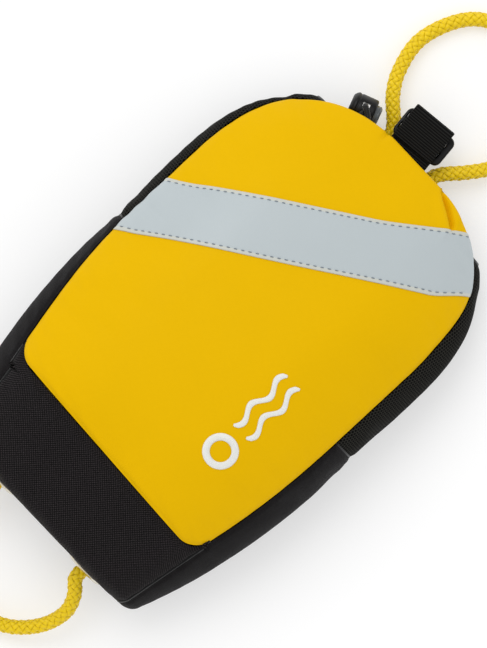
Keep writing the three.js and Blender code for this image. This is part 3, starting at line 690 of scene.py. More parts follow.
class Look:
    """A procedural material, built on a Principled BSDF."""

    def __init__(self, name, rgb, rough, specular=0.5, metallic=0.0):
        self.material = bpy.data.materials.new(name)
        self.material.use_nodes = True
        self.tree = self.material.node_tree
        self.bsdf = self.tree.nodes["Principled BSDF"]
        put(self.bsdf, {"Roughness": rough, "Specular IOR Level": specular, "Metallic": metallic})
        base = self.node("ShaderNodeRGB")
        base.outputs[0].default_value = linear(*rgb)
        self.colour = base.outputs[0]
        self.normal = None
        self.uv = None

    def node(self, kind, **settings):
        return assign(self.tree.nodes.new(kind), **settings)

    def link(self, source, target):
        if isinstance(source, (int, float)):
            target.default_value = source
        else:
            self.tree.links.new(source, target)

    def math(self, operation, a, b=None, c=None):
        made = self.node("ShaderNodeMath", operation=operation)
        for socket, value in zip(made.inputs, (a, b, c)):
            if value is not None:
                self.link(value, socket)
        return made.outputs[0]

    def axes(self):
        if self.uv is None:
            split = self.node("ShaderNodeSeparateXYZ")
            self.link(self.node("ShaderNodeUVMap").outputs[0], split.inputs[0])
            self.uv = split.outputs
        return self.uv[0], self.uv[1]

    def wave(self, axis, pitch, phase=0.0):
        turn = self.math("MULTIPLY_ADD", self.axes()[axis], math.tau / pitch, phase)
        return self.math("SINE", turn)

    def weave(self, pitch):
        return self.math("MULTIPLY", self.wave(0, 2 * pitch), self.wave(1, 2 * pitch))

    def noise(self, size_mm, detail=3.0, stretch=None):
        made = self.node("ShaderNodeTexNoise")
        put(made, {"Scale": 1 if stretch else 1 / (size_mm * MM), "Detail": detail})
        if stretch:
            mapping = self.node("ShaderNodeMapping")
            self.link(self.node("ShaderNodeUVMap").outputs[0], mapping.inputs[0])
            mapping.inputs["Scale"].default_value = (stretch[0], stretch[1], 1)
            self.link(mapping.outputs[0], made.inputs["Vector"])
        else:
            coord = self.node("ShaderNodeTexCoord")
            self.link(coord.outputs["Object"], made.inputs["Vector"])
        return made.outputs["Fac"]

    def shade(self, amount, socket, rgb=None):
        """Multiplies the colour by 1 + amount * (socket - 0.5), or mixes towards rgb."""
        if rgb is None:
            factor = self.math("MULTIPLY_ADD", socket, amount, 1 - amount / 2)
            made = self.node("ShaderNodeVectorMath", operation="SCALE")
            self.link(self.colour, made.inputs[0])
            self.link(factor, made.inputs["Scale"])
            self.colour = made.outputs[0]
            return
        made = self.node("ShaderNodeMix", data_type="RGBA")
        self.link(self.math("MULTIPLY", socket, amount), made.inputs["Factor"])
        self.link(self.colour, made.inputs["A"])
        made.inputs["B"].default_value = linear(*rgb)
        self.colour = made.outputs["Result"]

    def bump(self, socket, height_mm, strength=1.0):
        made = self.node("ShaderNodeBump")
        put(made, {"Distance": height_mm * MM, "Strength": strength})
        self.link(socket, made.inputs["Height"])
        if self.normal:
            self.link(self.normal, made.inputs["Normal"])
        self.normal = made.outputs[0]

    def rough(self, socket, low, high):
        made = self.math("MULTIPLY_ADD", socket, high - low, low)
        self.link(made, self.bsdf.inputs["Roughness"])

    def sheen(self, weight, rough=0.4):
        put(self.bsdf, {"Sheen Weight": weight, "Sheen Roughness": rough})

    def done(self):
        self.link(self.colour, self.bsdf.inputs["Base Color"])
        if self.normal:
            self.link(self.normal, self.bsdf.inputs["Normal"])
        return self.material


def coated_cloth():
    look = Look("coated_yellow_fabric", (231, 182, 0), 0.5, 0.04)
    fine = look.weave(0.32)
    look.shade(0.035, fine)
    look.shade(0.05, look.noise(28))
    look.shade(0.04, look.noise(1.1, 4))
    look.bump(fine, 0.03, 0.6)
    look.bump(look.noise(7, 2), 0.12, 0.35)
    look.rough(look.noise(12), 0.42, 0.6)
    return look.done()


def woven_black(name, rgb, pitch, thread_highlight_rgb, contrast):
    look = Look(name, rgb, 0.75, 0.12)
    weave = look.weave(pitch)
    # Painted highlight: where the weave is high, the raised threads are mixed towards the lighter colour.
    lit = look.math("GREATER_THAN", weave, 0.25)
    look.shade(contrast, lit, thread_highlight_rgb)
    look.shade(1.1, look.noise(0.7, 2))
    look.shade(0.25, look.noise(22))
    look.bump(weave, 0.14, 0.8)
    look.bump(look.noise(9, 2), 0.3, 0.3)
    look.sheen(0.04)
    return look.done()


def mesh_cloth():
    look = Look("side_mesh", (7, 7, 6), 0.8, 0.06)
    pitch = 1.4
    u, v = look.axes()
    row = look.math("DIVIDE", v, pitch * 0.87)
    shift = look.math("MULTIPLY", look.math("FLOORED_MODULO", look.math("FLOOR", row), 2.0), 0.5)
    column = look.math("ADD", look.math("DIVIDE", u, pitch), shift)
    du = look.math("SUBTRACT", look.math("FRACT", column), 0.5)
    dv = look.math("MULTIPLY", look.math("SUBTRACT", look.math("FRACT", row), 0.5), 0.87)
    radius = look.math("SQRT", look.math("ADD", look.math("MULTIPLY", du, du), look.math("MULTIPLY", dv, dv)))
    look.shade(0.85, look.math("GREATER_THAN", radius, 0.38), (50, 49, 45))
    look.bump(radius, 0.3, 0.8)
    look.shade(0.3, look.noise(3))
    return look.done()


def ribbed_webbing():
    look = Look("black_webbing", (33, 33, 31), 0.7, 0.15)
    look.shade(0.8, look.noise(1, 3, (2.2, 0.9)))
    # Painted highlight: bands at the rib pitch, lighter on the rib tops and darker between them.
    look.shade(0.7, look.wave(1, RIB_PITCH, -0.5 * math.pi))
    threads = look.wave(0, 0.55)
    look.shade(0.5, threads)
    look.bump(threads, 0.06, 0.6)
    look.sheen(0.05)
    return look.done()


def rope_fibre():
    look = Look("rope_fibre", (240, 205, 2), 0.4, 0.35)
    streak = look.noise(1, 3, (3.0, 0.35))
    look.shade(0.3, streak)
    # Painted shade: the edges of each strand, where the strands meet, are darkened towards brownish yellow.
    side = look.math("ABSOLUTE", look.math("COSINE", look.axes()[0]))
    look.shade(0.4, look.math("POWER", side, 5.0), (150, 120, 2))
    look.shade(0.14, look.noise(6))
    look.bump(streak, 0.08, 0.7)
    look.sheen(0.05)
    return look.done()


def rope_plain():
    look = Look("rope_stuffed", (220, 182, 10), 0.5, 0.3)
    up = look.math("ADD", look.axes()[0], look.axes()[1])
    down = look.math("SUBTRACT", look.axes()[0], look.axes()[1])
    cross = look.math(
        "MULTIPLY",
        look.math("SINE", look.math("MULTIPLY", up, 2.1)),
        look.math("SINE", look.math("MULTIPLY", down, 2.1)),
    )
    look.shade(0.35, cross)
    look.bump(cross, 0.35, 0.9)
    return look.done()


def reflective():
    look = Look("reflective_tape", (186, 195, 198), 0.4, 0.3, 0.0)
    edge = look.math("GREATER_THAN", look.math("ABSOLUTE", look.axes()[1]), STITCH_LINE)
    look.shade(0.7, edge, (206, 205, 192))
    beads = look.weave(0.36)
    look.shade(0.05, beads)
    look.shade(0.05, look.noise(20))
    look.bump(beads, 0.02, 0.6)
    look.bump(look.noise(8, 2), 0.15, 0.3)
    return look.done()


def thread(name, rgb, pitch=0.42):
    look = Look(name, rgb, 0.45, 0.35)
    lines = look.wave(1, pitch)
    look.shade(0.14, lines)
    look.bump(lines, 0.05, 0.7)
    look.sheen(0.2)
    return look.done()


def plastic(name, rgb, rough):
    look = Look(name, rgb, rough, 0.5)
    look.rough(look.noise(5), rough * 0.8, rough * 1.25)
    look.bump(look.noise(0.8, 2), 0.02, 0.3)
    return look.done()


def metal(name, rgb, rough):
    look = Look(name, rgb, rough, 0.5, 1.0)
    look.rough(look.noise(3, 4), rough * 0.7, rough * 1.4)
    look.shade(0.08, look.noise(5))
    return look.done()


def foam():
    look = Look("closed_cell_foam", (139, 143, 146), 0.95, 0.1)
    cells = look.noise(0.9, 4)
    look.shade(0.2, cells)
    look.bump(cells, 0.2, 0.7)
    return look.done()


YELLOW = coated_cloth()
# The fourth number of each black cloth is the painted highlight colour of its raised threads.
TOE_BLACK = woven_black("toe_cloth", (12, 11, 11), 0.55, (64, 58, 60), 0.7)
SIDE_BLACK = woven_black("side_cloth", (23, 21, 22), 0.4, (42, 39, 40), 0.45)
MESH = mesh_cloth()
WEB = ribbed_webbing()
FIBRE = rope_fibre()
STUFFED = rope_plain()
TAPE = reflective()
STITCH = thread("tape_stitch", (128, 138, 150))
WHITE = thread("embroidery_thread", (243, 243, 238))
BINDING = thread("black_binding", (9, 9, 9), 0.7)
BLACK_CORD = thread("black_cord", (20, 20, 20), 0.8)
GLOSSY = plastic("black_plastic", (7, 7, 7), 0.42)
GREY = plastic("grey_plastic", (92, 96, 98), 0.22)
NICKEL = metal("nickel", (222, 217, 204), 0.24)
STEEL = metal("spring_steel", (176, 176, 176), 0.3)
FOAM = foam()


# ---- Front panel, its hem, tape, stitches and embroidery ----

add_sheet(Shape(), front_surface(FX, FS), points(FX, FS)).piece(
    "front_fabric", YELLOW, "coated_fabric", "bag", "front_panel"
)


def hem_strip(xs):
    """The turned-under half of the mouth hem, following the panel's rounded edge."""
    s = np.minimum(dome_station(xs), PANEL_TOP) - 0.3
    edge = points(xs, s, front_height(xs, s))
    normal = front_normal(xs, s)
    tangent = unit(np.gradient(edge, axis=0))
    inward = np.cross(tangent, normal)
    inward *= -np.sign(inward[:, 1:2])
    centre = edge + inward * ROLL - normal * ROLL
    angle = np.radians(np.linspace(172, 385, 26))
    r = ROLL - 0.06
    return swept(centre, inward, normal, r * np.cos(angle), r * np.sin(angle))


hem_grid = hem_strip(np.linspace(*(corner[0] for corner in box_mm("front_hem")), 120))
if grid_normals(hem_grid)[60, 5, 1] < 0:
    hem_grid = hem_grid[::-1]
add_sheet(Shape(), hem_grid, depth=0.5).piece(
    "front_hem_turn", YELLOW, "coated_fabric", "bag", "front_hem"
)

tape_along = np.array([math.cos(TAPE_SLOPE), math.sin(TAPE_SLOPE)])


def tape_place(a, b):
    x = a * tape_along[0] - b * tape_along[1]
    s = TAPE_CROSSING + a * tape_along[1] + b * tape_along[0]
    high = smoothstep(x, 4, 38)
    low = 0.85 * smoothstep(x, 42, 55)
    return x, s + TAPE_BEND * lerp(low, high, (b + TAPE_HALF) / (2 * TAPE_HALF))


def tape_reach(b):
    a = np.arange(-140, 140, 0.2)
    x, s = tape_place(a, b)
    on = (x > -panel_edge(s, -1) + 0.3) & (x < panel_edge(s, 1) - 0.3) & (s < PANEL_TOP - 3)
    on &= s < dome_station(x) - 0.3
    return a[on].min(), a[on].max()


tape_b = np.concatenate([[-12.7, -12.55], np.linspace(-12.3, 12.3, 50), [12.55, 12.7]])
tape_grid = []
tape_uv = []
for b in tape_b:
    low, high = tape_reach(b)
    a = np.linspace(low, high, 260)
    x, s = tape_place(a, b + 0 * a)
    lift = 0.62 if abs(b) < 12.5 else (0.5 if abs(b) < 12.6 else 0.15)
    stitch_dip = 0.12 * math.exp(-(((abs(b) - STITCH_LINE) / 0.45) ** 2))
    tape_grid.append(front_surface(x, s, lift - stitch_dip))
    tape_uv.append(points(a, b))
tape_grid, tape_uv = np.array(tape_grid), np.array(tape_uv)
add_sheet(Shape(), tape_grid, tape_uv, 0.5).piece(
    "tape_strip", TAPE, "reflective_tape", "bag", "reflective_tape"
)

shape = Shape()
for b in (-STITCH_LINE, STITCH_LINE):
    low, high = tape_reach(b)
    for a in np.arange(low + 2, high - 2.2, 3.0):
        t = np.linspace(0, 1, 7)
        x, s = tape_place(a + 1.3 * t, b + 0 * t)
        arch = 0.5 + 0.2 * np.sin(math.pi * t) ** 0.6
        thick = 0.1 + 0.12 * np.sin(math.pi * np.clip(t, 0.08, 0.92)) ** 0.5
        add_tube(shape, front_surface(x, s, arch), thick, 8)
shape.piece("tape_stitches", STITCH, "embroidery", "bag")

ring_outer, ring_inner = 7.5, 4.4
angle = np.linspace(0, math.tau, 721)
share = np.linspace(0, 1, 14)
A, R = np.meshgrid(angle, share)
radius = lerp(ring_inner, ring_outer, R)
satin = 0.18 + 0.5 * np.sin(math.pi * R) ** 0.6 + 0.07 * np.cos(90 * A + 1.4 * R)
ring = front_surface(MARK[0] + radius * np.cos(A), MARK[1] + radius * np.sin(A), satin)
add_sheet(Shape(), ring[:, ::-1], points(radius, A * 6)[:, ::-1], 0.3).piece(
    "ring_embroidery", WHITE, "embroidery", "bag", "embroidered_ring"
)

for label, offset in (("left", -3.7), ("right", 3.7)):
    t, across = np.meshgrid(np.linspace(0, 1, 420), np.linspace(-1, 1, 13))
    taper = np.clip(np.minimum(t, 1 - t) * WAVE_LENGTH / 0.8, 0.15, 1) ** 0.5
    x = MARK[0] + offset + 1.7 * np.sin(4 * math.pi * t) + across * 1.3 * taper
    s = WAVE_START + WAVE_LENGTH * t
    satin = 0.18 + 0.45 * (1 - across**2) ** 0.6 * taper
    satin = satin + 0.06 * np.cos(math.tau * WAVE_LENGTH * t / 0.42 + across)
    wave_grid = front_surface(x, s, satin)[::-1]
    add_sheet(Shape(), wave_grid, points(across, s)[::-1], 0.3).piece(
        "wave_embroidery_" + label, WHITE, "embroidery", "bag", "embroidered_wave_" + label
    )


# ---- Toe panel, bottom panel, back panel ----


def relief_sheet(p, depth=0.7, width=1.5, height=0.25):
    """A panel's grid with seam valleys at its edges and small gathers beside them."""
    d = edge_distance(p, closed_line(p))
    along = p[..., 1] + 0.6 * p[..., 0] + 0.3 * p[..., 2]
    out = -depth * np.exp(-((d / width) ** 2)) + pucker(along, d, 8, height)
    return p + grid_normals(p) * out[..., None]


def toe_side(s, side):
    """The toe panel's side edge, which runs on beside the yellow panel's rounded corner."""
    return seam_edge(s, side, 0.1)


u, v = np.meshgrid(cosine_steps(190), np.linspace(0, 1, 80) ** 1.2)
reach = 0 * u
for side in (-1, 1):
    edge = float(panel_edge(TOE_SEAM + 3, side))
    x = lerp(-float(toe_side(45.0, -1)), float(toe_side(45.0, 1)), u)
    past = np.clip(side * x - (edge - CORNER_RADIUS), 0, CORNER_RADIUS)
    reach = reach + CORNER_RADIUS - np.sqrt(CORNER_RADIUS**2 - past**2)
s = (TOE_SEAM + SEAM_SLANT * (1 - 2 * u) - SEAM_GAP + reach) * v
x = lerp(-toe_side(s, -1), toe_side(s, 1), u)
toe = relief_sheet(points(x, s, front_height(x, s)), 0.9)
add_sheet(Shape(), toe).piece("toe_fabric", TOE_BLACK, "toe_cloth", "bag", "toe_panel")

v, u = np.meshgrid(cosine_steps(120), np.linspace(0, 1, 60), indexing="ij")
s = BACK_END * v
x = (back_half(s) - SEAM_GAP) * (1 - 2 * u)
back = points(x, s, edge_inset(s))
add_sheet(Shape(), back).piece("back_fabric", SIDE_BLACK, "side_cloth", "bag", "back_panel")


def toe_section(steps=60):
    """The outline of the toe end as (x, z), counter-clockwise."""
    inset = SEAM_GAP + 0.3
    half = float(outline(0)) - inset
    corner = float(back_half(0))
    low = WAIST * float(thickness(0))
    base = TOE_ROUND + inset
    line = []
    for a in np.linspace(-math.pi / 2, math.pi / 2, 2 * steps + 1):
        c = max(math.cos(a), 0)
        if a >= 0:
            line.append((half * c ** (2 / CROWN), low + (float(thickness(0)) - inset - low) * math.sin(a)))
        else:
            line.append((corner + (half - corner) * c, low + (low - base) * math.sin(a)))
    line = np.array(line)
    return np.vstack([line, (line * [-1, 1])[::-1][1:-1]])


def disc(centre, radius, steps=48):
    a = circle(steps)
    return points(centre[0] + radius * np.cos(a), centre[1] + radius * np.sin(a))


def inside(places, loop):
    x, y = places[:, 0], places[:, 1]
    hit = np.zeros(len(places), bool)
    for (x1, y1), (x2, y2) in zip(loop, np.roll(loop, -1, 0)):
        crosses = (y1 > y) != (y2 > y)
        hit ^= crosses & (x < (x2 - x1) * (y - y1) / (y2 - y1 + 1e-12) + x1)
    return hit


section = resample(np.pad(np.vstack([toe_section(), toe_section()[:1]]), ((0, 0), (0, 1))), 1.5)[:-1, :2]
holes = [disc((e[0], e[2]), 5.8) for e in EYELETS]
gx, gz = np.meshgrid(np.arange(-56, 56.1, 1.6), np.arange(4, 46, 1.6))
fill = points(gx.ravel(), gz.ravel())
fill = fill[inside(fill, section * 0.985 + [0, 0.35])]
for e in EYELETS:
    fill = fill[np.hypot(fill[:, 0] - e[0], fill[:, 1] - e[2]) > 6.6]
loops = [section] + holes
flat = np.vstack(loops + [fill])
edges = []
first = 0
for loop in loops:
    edges += [(first + i, first + (i + 1) % len(loop)) for i in range(len(loop))]
    first += len(loop)
points2d, _, triangles, *_ = delaunay_2d_cdt([Vector(p) for p in flat], edges, [], 0, 1e-5)
points2d = np.array([tuple(p) for p in points2d])
triangles = np.array([t for t in triangles if len(t) == 3])
middle = points2d[triangles].mean(1)
keep = inside(middle, section)
for hole in holes:
    keep &= ~inside(middle, hole)
triangles = triangles[keep]
plate = points(points2d[:, 0], 0.0, points2d[:, 1])
from_edge = edge_distance(plate, section[:, [0, 0, 1]] * [1, 0, 1])
waves = 0.12 * np.sin(0.5 * plate[:, 0]) * np.sin(0.4 * plate[:, 2])
plate[:, 1] = 0.5 - 0.9 * smoothstep(from_edge, 0, 5) + waves
plate[:, 1] = np.maximum(plate[:, 1], -0.25)
back_side = plate + [0, CLOTH, 0]
n = len(plate)
pairs = {}
for t in triangles:
    for a, b in ((t[0], t[1]), (t[1], t[2]), (t[2], t[0])):
        pairs[(a, b)] = True
border = np.array([(a, b) for a, b in pairs if (b, a) not in pairs])
rim = points(border[:, 0], border[:, 1], border[:, 1] + n, border[:, 0] + n)
shape = Shape()
shape.add(
    np.vstack([plate, back_side]),
    [triangles[:, ::-1], triangles + n, rim],
    np.vstack([plate, back_side])[:, [0, 2]],
)
seam_line = points(section[:, 0], 1.0, section[:, 1])
add_tube(shape, np.vstack([seam_line, seam_line[:1]]), 0.8, 8, False)
shape.piece("bottom_fabric", TOE_BLACK, "toe_cloth", "bag", "bottom_panel")


# ---- Gussets ----


def side_grid(name, side, low, high, sim_low, sim_rows, pressure, rows, cols, lowest):
    """The outside of a gusset between two stations, with the belly from its simulation."""
    t, s = even(sim_rows, 24)
    coarse = gusset_point(lerp(sim_low, high, s), t, side)[:, ::side]
    swell = blur(belly(name, coarse, pressure, SIDE_BULGE))
    t, s = np.meshgrid(cosine_steps(cols), cosine_steps(rows))
    grid = gusset_point(lerp(low, high, s), t, side)[:, ::side]
    grid = grid + grid_normals(grid) * sample(swell, t, s)[..., None]
    grid[..., 2] = np.maximum(grid[..., 2], lowest)
    grid = relief_sheet(grid, 0.6)
    grid[..., 2] = np.maximum(grid[..., 2], 0.0)
    return grid


for label, side in (("left", -1), ("right", 1)):
    seam = GUSSET_SEAM - SEAM_GAP
    cloth_grid = side_grid("sim_gusset_" + label, side, 0.0, seam, 0.5, 26, 5, 110, 110, 0.02)
    add_sheet(Shape(), cloth_grid).piece(
        label + "_side_fabric", SIDE_BLACK, "side_cloth", "bag", label + "_gusset_fabric"
    )

    seam = GUSSET_SEAM
    mesh_grid = side_grid("sim_mesh_" + label, side, seam, MESH_END, seam, 20, 4, 96, 100, -math.inf)
    station = mesh_grid[..., 1]
    drawn_in = (outline(station) + 1.3) / half_width(station)
    mesh_grid[..., 0] *= lerp(1.0, np.minimum(drawn_in, 1), smoothstep(station, 190, 203))
    add_sheet(Shape(), mesh_grid, depth=0.7).piece(
        label + "_side_mesh", MESH, "side_mesh", "bag", label + "_gusset_mesh"
    )

    shape = Shape()
    mouth_end = resample(mesh_grid[-1] - grid_normals(mesh_grid)[-1] * 0.5, 0.8)
    mouth_end[:, 2] = np.maximum(mouth_end[:, 2], 0.9)
    add_tube(shape, mouth_end, 0.9, 12)
    fold = cloth_grid[-1] - grid_normals(cloth_grid)[-1] * 0.9 + [0, SEAM_GAP / 2, 0]
    fold[:, 2] = np.maximum(fold[:, 2], 1.0)
    add_tube(shape, resample(fold, 0.8), 1.0, 12)
    station = np.linspace(1.2, GUSSET_SEAM_BACKED, 60)
    seam_line = gusset_point(station, 0 * station, side)
    inward = points(0.0, station, WAIST * thickness(station)) - seam_line
    add_tube(shape, resample(seam_line + 1.6 * unit(inward), 1.0), 1.0, 8)
    shape.piece(label + "_side_binding", BINDING, "side_cloth", "bag")


# ---- Mouth: back hem, drawcord, cord lock ----


def front_hem_line(x):
    s = dome_station(x) - HEM_INSET
    p = points(x, s, front_height(x, s))
    return p - front_normal(x, s) * HEM_DEPTH


def back_hem_line(x):
    s = BACK_DOME_START + BACK_DOME_REACH * superellipse(x / (BAG_HALF - BACK_CORNER))
    return points(x, s - HEM_INSET, HEM_DEPTH)


line = resample(back_hem_line(np.linspace(-34, 34, 60)), 0.8)
tangent = unit(np.gradient(line, axis=0))
outward = np.cross(tangent, UP)
outward *= np.sign(outward[:, 1:2])
angle = np.radians(np.linspace(-150, 150, 30))
r = 2.4
channel = swept(line, outward, 0 * line + UP, r * np.cos(angle), r * np.sin(angle))
if grid_normals(channel)[20, 15] @ outward[20] < 0:
    channel = channel[:, ::-1]
add_sheet(Shape(), channel, depth=0.5).piece(
    "back_hem_turn", SIDE_BLACK, "side_cloth", "bag", "back_hem"
)


def local_frame(origin, turn):
    """The first two axes of a frame turned about z, and the function that leads out of it."""
    along = np.array([math.cos(turn), math.sin(turn), 0])
    across = np.array([-math.sin(turn), math.cos(turn), 0])

    def to_space(local):
        local = np.asarray(local, float)
        return origin + local[..., :1] * along + local[..., 1:2] * across + local[..., 2:3] * UP

    return along, across, to_space


lock_axis, lock_across, lock_space = local_frame(LOCK, LOCK_TURN)


def cord_at(side, z):
    p = LOCK + lock_across * (side * 1.45)
    return np.array([p[0], p[1], z])


cord_points = (
    [cord_at(1, z) for z in (5.9, 10, 17, 24.7)]
    + [np.array([-27.8, 214.4, 26.3])]
    + list(front_hem_line(np.linspace(-24, 46, 9)))
    + [np.array(p) for p in ((49, 199, 21), (48.5, 197.5, 13), (42, 198.5, 5.5))]
    + list(back_hem_line(np.linspace(34, -34, 8)))
    + [np.array(p) for p in ((-41, 199.5, 5.5), (-44, 203, 13), (-37, 208, 20.5), (-31, 210.5, 25.6))]
    + [cord_at(-1, z) for z in (24.7, 17, 10, 5.9)]
)
shape = Shape()
cord_path = spline(cord_points, 0.35)
add_tube(shape, cord_path, CORD, 12)
shape.piece("mouth_cord", BLACK_CORD, "cord", "bag", "drawcord")


def trefoil(centre, size, plane, p=2, q=3):
    """A closed trefoil line; plane is a pair of unit vectors it lies in."""
    t = np.linspace(0, math.tau, 181)
    cu, su = np.cos(t * p), np.sin(t * p)
    r = size * (2 + np.cos(q * t)) / 2
    e1, e2 = np.array(plane[0], float), np.array(plane[1], float)
    e3 = np.cross(e1, e2)
    h = size * np.sin(q * t) / 2
    return centre + (r * cu)[:, None] * e1 + (r * su)[:, None] * e2 + h[:, None] * e3


knot_centre = centre_mm("drawcord_knot")
add_tube(Shape(), trefoil(knot_centre, 1.0, ((1, 0, 0), (0, 1, 0))), 1.05, 12, False).piece(
    "mouth_cord_knot", BLACK_CORD, "cord", "bag", "drawcord_knot"
)


slot_width = 2.9 + 2 * CORD + 1
barrel_profile = rounded(
    [[-6.4, 0.01], [-6.4, 4.4], [-5.6, 5.5], [-4.6, 6.2], [-3.9, 6.2], [-3.6, 5.9], [-3.2, 5.9], [-2.9, 6.2],
     [2.9, 6.2], [3.9, 6.2], [4.5, 5.5], [4.5, 4.7], [-5.3, 4.7], [-5.3, 0.01]],
    0.4,
)
shape = Shape()
add_lathe(shape, barrel_profile, lock_space)
slit = (LOCK, (3.2, slot_width, 30), LOCK_TURN)
shape.piece("lock_barrel", GLOSSY, "black_plastic", "cord_lock", "cord_lock_barrel", slit=slit, sharp=35)

plunger_profile = rounded(
    [[-2.5, 0.01], [-2.5, 4.3], [5.2, 4.3], [5.5, 4.0], [5.8, 4.3], [6.2, 4.3], [7.0, 3.3], [7.0, 0.01]],
    0.4,
)
shape = Shape()
add_lathe(shape, plunger_profile, lock_space)
slit = (LOCK + lock_axis * 0.75, (4.5, slot_width, 30), LOCK_TURN)
shape.piece("lock_plunger", GREY, "grey_plastic", "cord_plunger", "cord_lock_plunger", slit=slit, sharp=35)

t = np.linspace(0, 1, 90)
turn = math.tau * 1.4 * t
coil = lock_space(points(lerp(-5.0, -4.3, t), 3.2 * np.cos(turn), 3.2 * np.sin(turn)))
add_tube(Shape(), coil, 0.2, 12).piece(
    "lock_spring", STEEL, "spring_steel", "cord_lock", "cord_lock_spring"
)


# ---- Closure strap and ladder lock ----

_, _, strap_space = local_frame(STRAP, STRAP_TURN)


def add_webbing(shape, side_view, half=WEBBING_HALF, ribs=True):
    """Ribbed webbing along a line of [y, z] points in the strap's frame."""
    path = spline([(0, y, z) for y, z in side_view], 0.18)
    tangent = unit(np.gradient(path, axis=0))
    normal = np.cross(ACROSS, tangent)
    reach = reaches(path)
    columns = np.concatenate([[-1, -0.985, -0.95], np.linspace(-0.88, 0.88, 13), [0.95, 0.985, 1]])
    edge = np.sqrt(np.clip(1 - np.clip((np.abs(columns) * half - half + 0.7) / 0.7, 0, 1) ** 2, 0.12, 1))
    a = np.concatenate([columns, columns[::-1]]) * half
    b = np.concatenate([edge, -edge[::-1]]) * WEBBING / 2
    rib = 0.13 * (np.abs(np.sin(math.pi * reach / RIB_PITCH)) - 0.6) if ribs else 0 * reach
    inner = np.concatenate([edge, edge[::-1]])
    verts = (
        path[:, None]
        + normal[:, None] * (b[None] + np.sign(b)[None] * rib[:, None] * inner[None])[..., None]
        + ACROSS * a[None, :, None]
    )
    n = len(a)
    last = (len(path) - 1) * n
    uv = points(a[None], reach[:, None])
    faces = [grid_faces(len(path), n, True), np.arange(n)[None, ::-1], np.arange(n)[None] + last]
    shape.add(strap_space(verts), faces, uv)


shape = Shape()
add_webbing(
    shape,
    [(-20, 32), (-13, 26.5), (-8, 22.6), (-4, 20.8), (0, 20.55), (3.6, 20.6), (4.9, 20.4), (5.6, 19.4),
     (5.65, 17), (5.6, 14.8), (5.1, 13.8), (4, 13.4), (1.4, 13.4)],
)
ends = [strap_space([0, y, 20.6]) for y in (-3.5, 1.2)]
nodes = ("webbing_anchor", "buckle_webbing")
shape.bending_piece("strap_lower", WEB, "webbing", ("bag", "closure_buckle"), ends, *nodes)

shape = Shape()
tail_line = [(0.7, 22.15), (4, 22.2), (12, 22.2), (15.4, 22.15), (16.5, 21.4), (15.4, 20.75), (12, 20.7)]
add_webbing(shape, tail_line + [(8.1, 20.7)])
shape.piece("strap_tail_fold", WEB, "webbing", "strap_tail", "tail_webbing", "tail_tab")


def rounded_rectangle(left, right, low, high, radius, steps=8):
    line = []
    for cx, cy, start in (
        (right - radius, low + radius, -90),
        (right - radius, high - radius, 0),
        (left + radius, high - radius, 90),
        (left + radius, low + radius, 180),
    ):
        for k in range(steps + 1):
            a = math.radians(start + 90 * k / steps)
            line.append((cx + radius * math.cos(a), cy + radius * math.sin(a)))
    return line


buckle_curve = assign(bpy.data.curves.new("buckle_curve", "CURVE"), dimensions="2D", fill_mode="BOTH")
outlines = [rounded_rectangle(-11.5, 13.0, 0.9, 14.9, 3.0)]
for start in (4.3, 9.5):
    outlines.append(rounded_rectangle(-10.0, 10.0, start, start + 2.6, 0.6)[::-1])
for line in outlines:
    curve = buckle_curve.splines.new("POLY")
    curve.points.add(len(line) - 1)
    for knot_point, (a, b) in zip(curve.points, line):
        knot_point.co = (a, b, 0, 1)
    curve.use_cyclic_u = True
BEVEL = 0.75
assign(buckle_curve, bevel_depth=BEVEL, offset=-BEVEL, bevel_resolution=4, extrude=2.5 - BEVEL)
curve_object = add_object("buckle_curve", buckle_curve)
bpy.context.view_layer.update()
made = bpy.data.meshes.new_from_object(evaluated(curve_object))
local = coordinates(made)
local[:, 2] += 17.0
local[:, 2] -= 1.0 * smoothstep(local[:, 1], 11.5, 14.9) * (local[:, 2] > 17.0)
by_size = {}
for polygon in made.polygons:
    by_size.setdefault(len(polygon.vertices), []).append(list(polygon.vertices))
bpy.data.objects.remove(curve_object)
shape = Shape()
shape.add(strap_space(local), [np.array(v) for v in by_size.values()], local[:, :2])
shape.piece("ladder_lock_frame", GLOSSY, "black_plastic", "closure_buckle", "ladder_lock", sharp=35)


# ---- Eyelets ----

for label, eyelet in zip(("left", "right"), EYELETS):

    def along_y(local, place=eyelet):
        return points(place[0] + local[:, 1], local[:, 0], place[2] + local[:, 2])

    shape = Shape()
    profile = rounded(
        [[-0.3, 5.4], [-0.3, 9.0], [-0.8, 9.0], [-1.3, 8.2], [-1.75, 7.0], [-1.75, 5.9], [-1.3, 5.0],
         [-0.6, 4.75], [3.0, 4.75], [3.3, 5.2], [3.3, 7.0], [2.6, 7.0], [2.4, 5.4], [-0.3, 5.4]],
        0.35,
    )
    add_lathe(shape, profile, along_y, 72)
    shape.piece(label + "_eyelet_rim", NICKEL, "nickel", "bag", label + "_eyelet", sharp=50)
    profile = rounded([[1.3, 5.9], [2.1, 5.9], [2.1, 8.7], [1.3, 8.7], [1.3, 5.9]], 0.3)
    add_lathe(Shape(), profile, along_y, 64).piece(
        label + "_eyelet_washer", NICKEL, "nickel", "bag", label + "_washer", sharp=50
    )


# ---- Rope ----

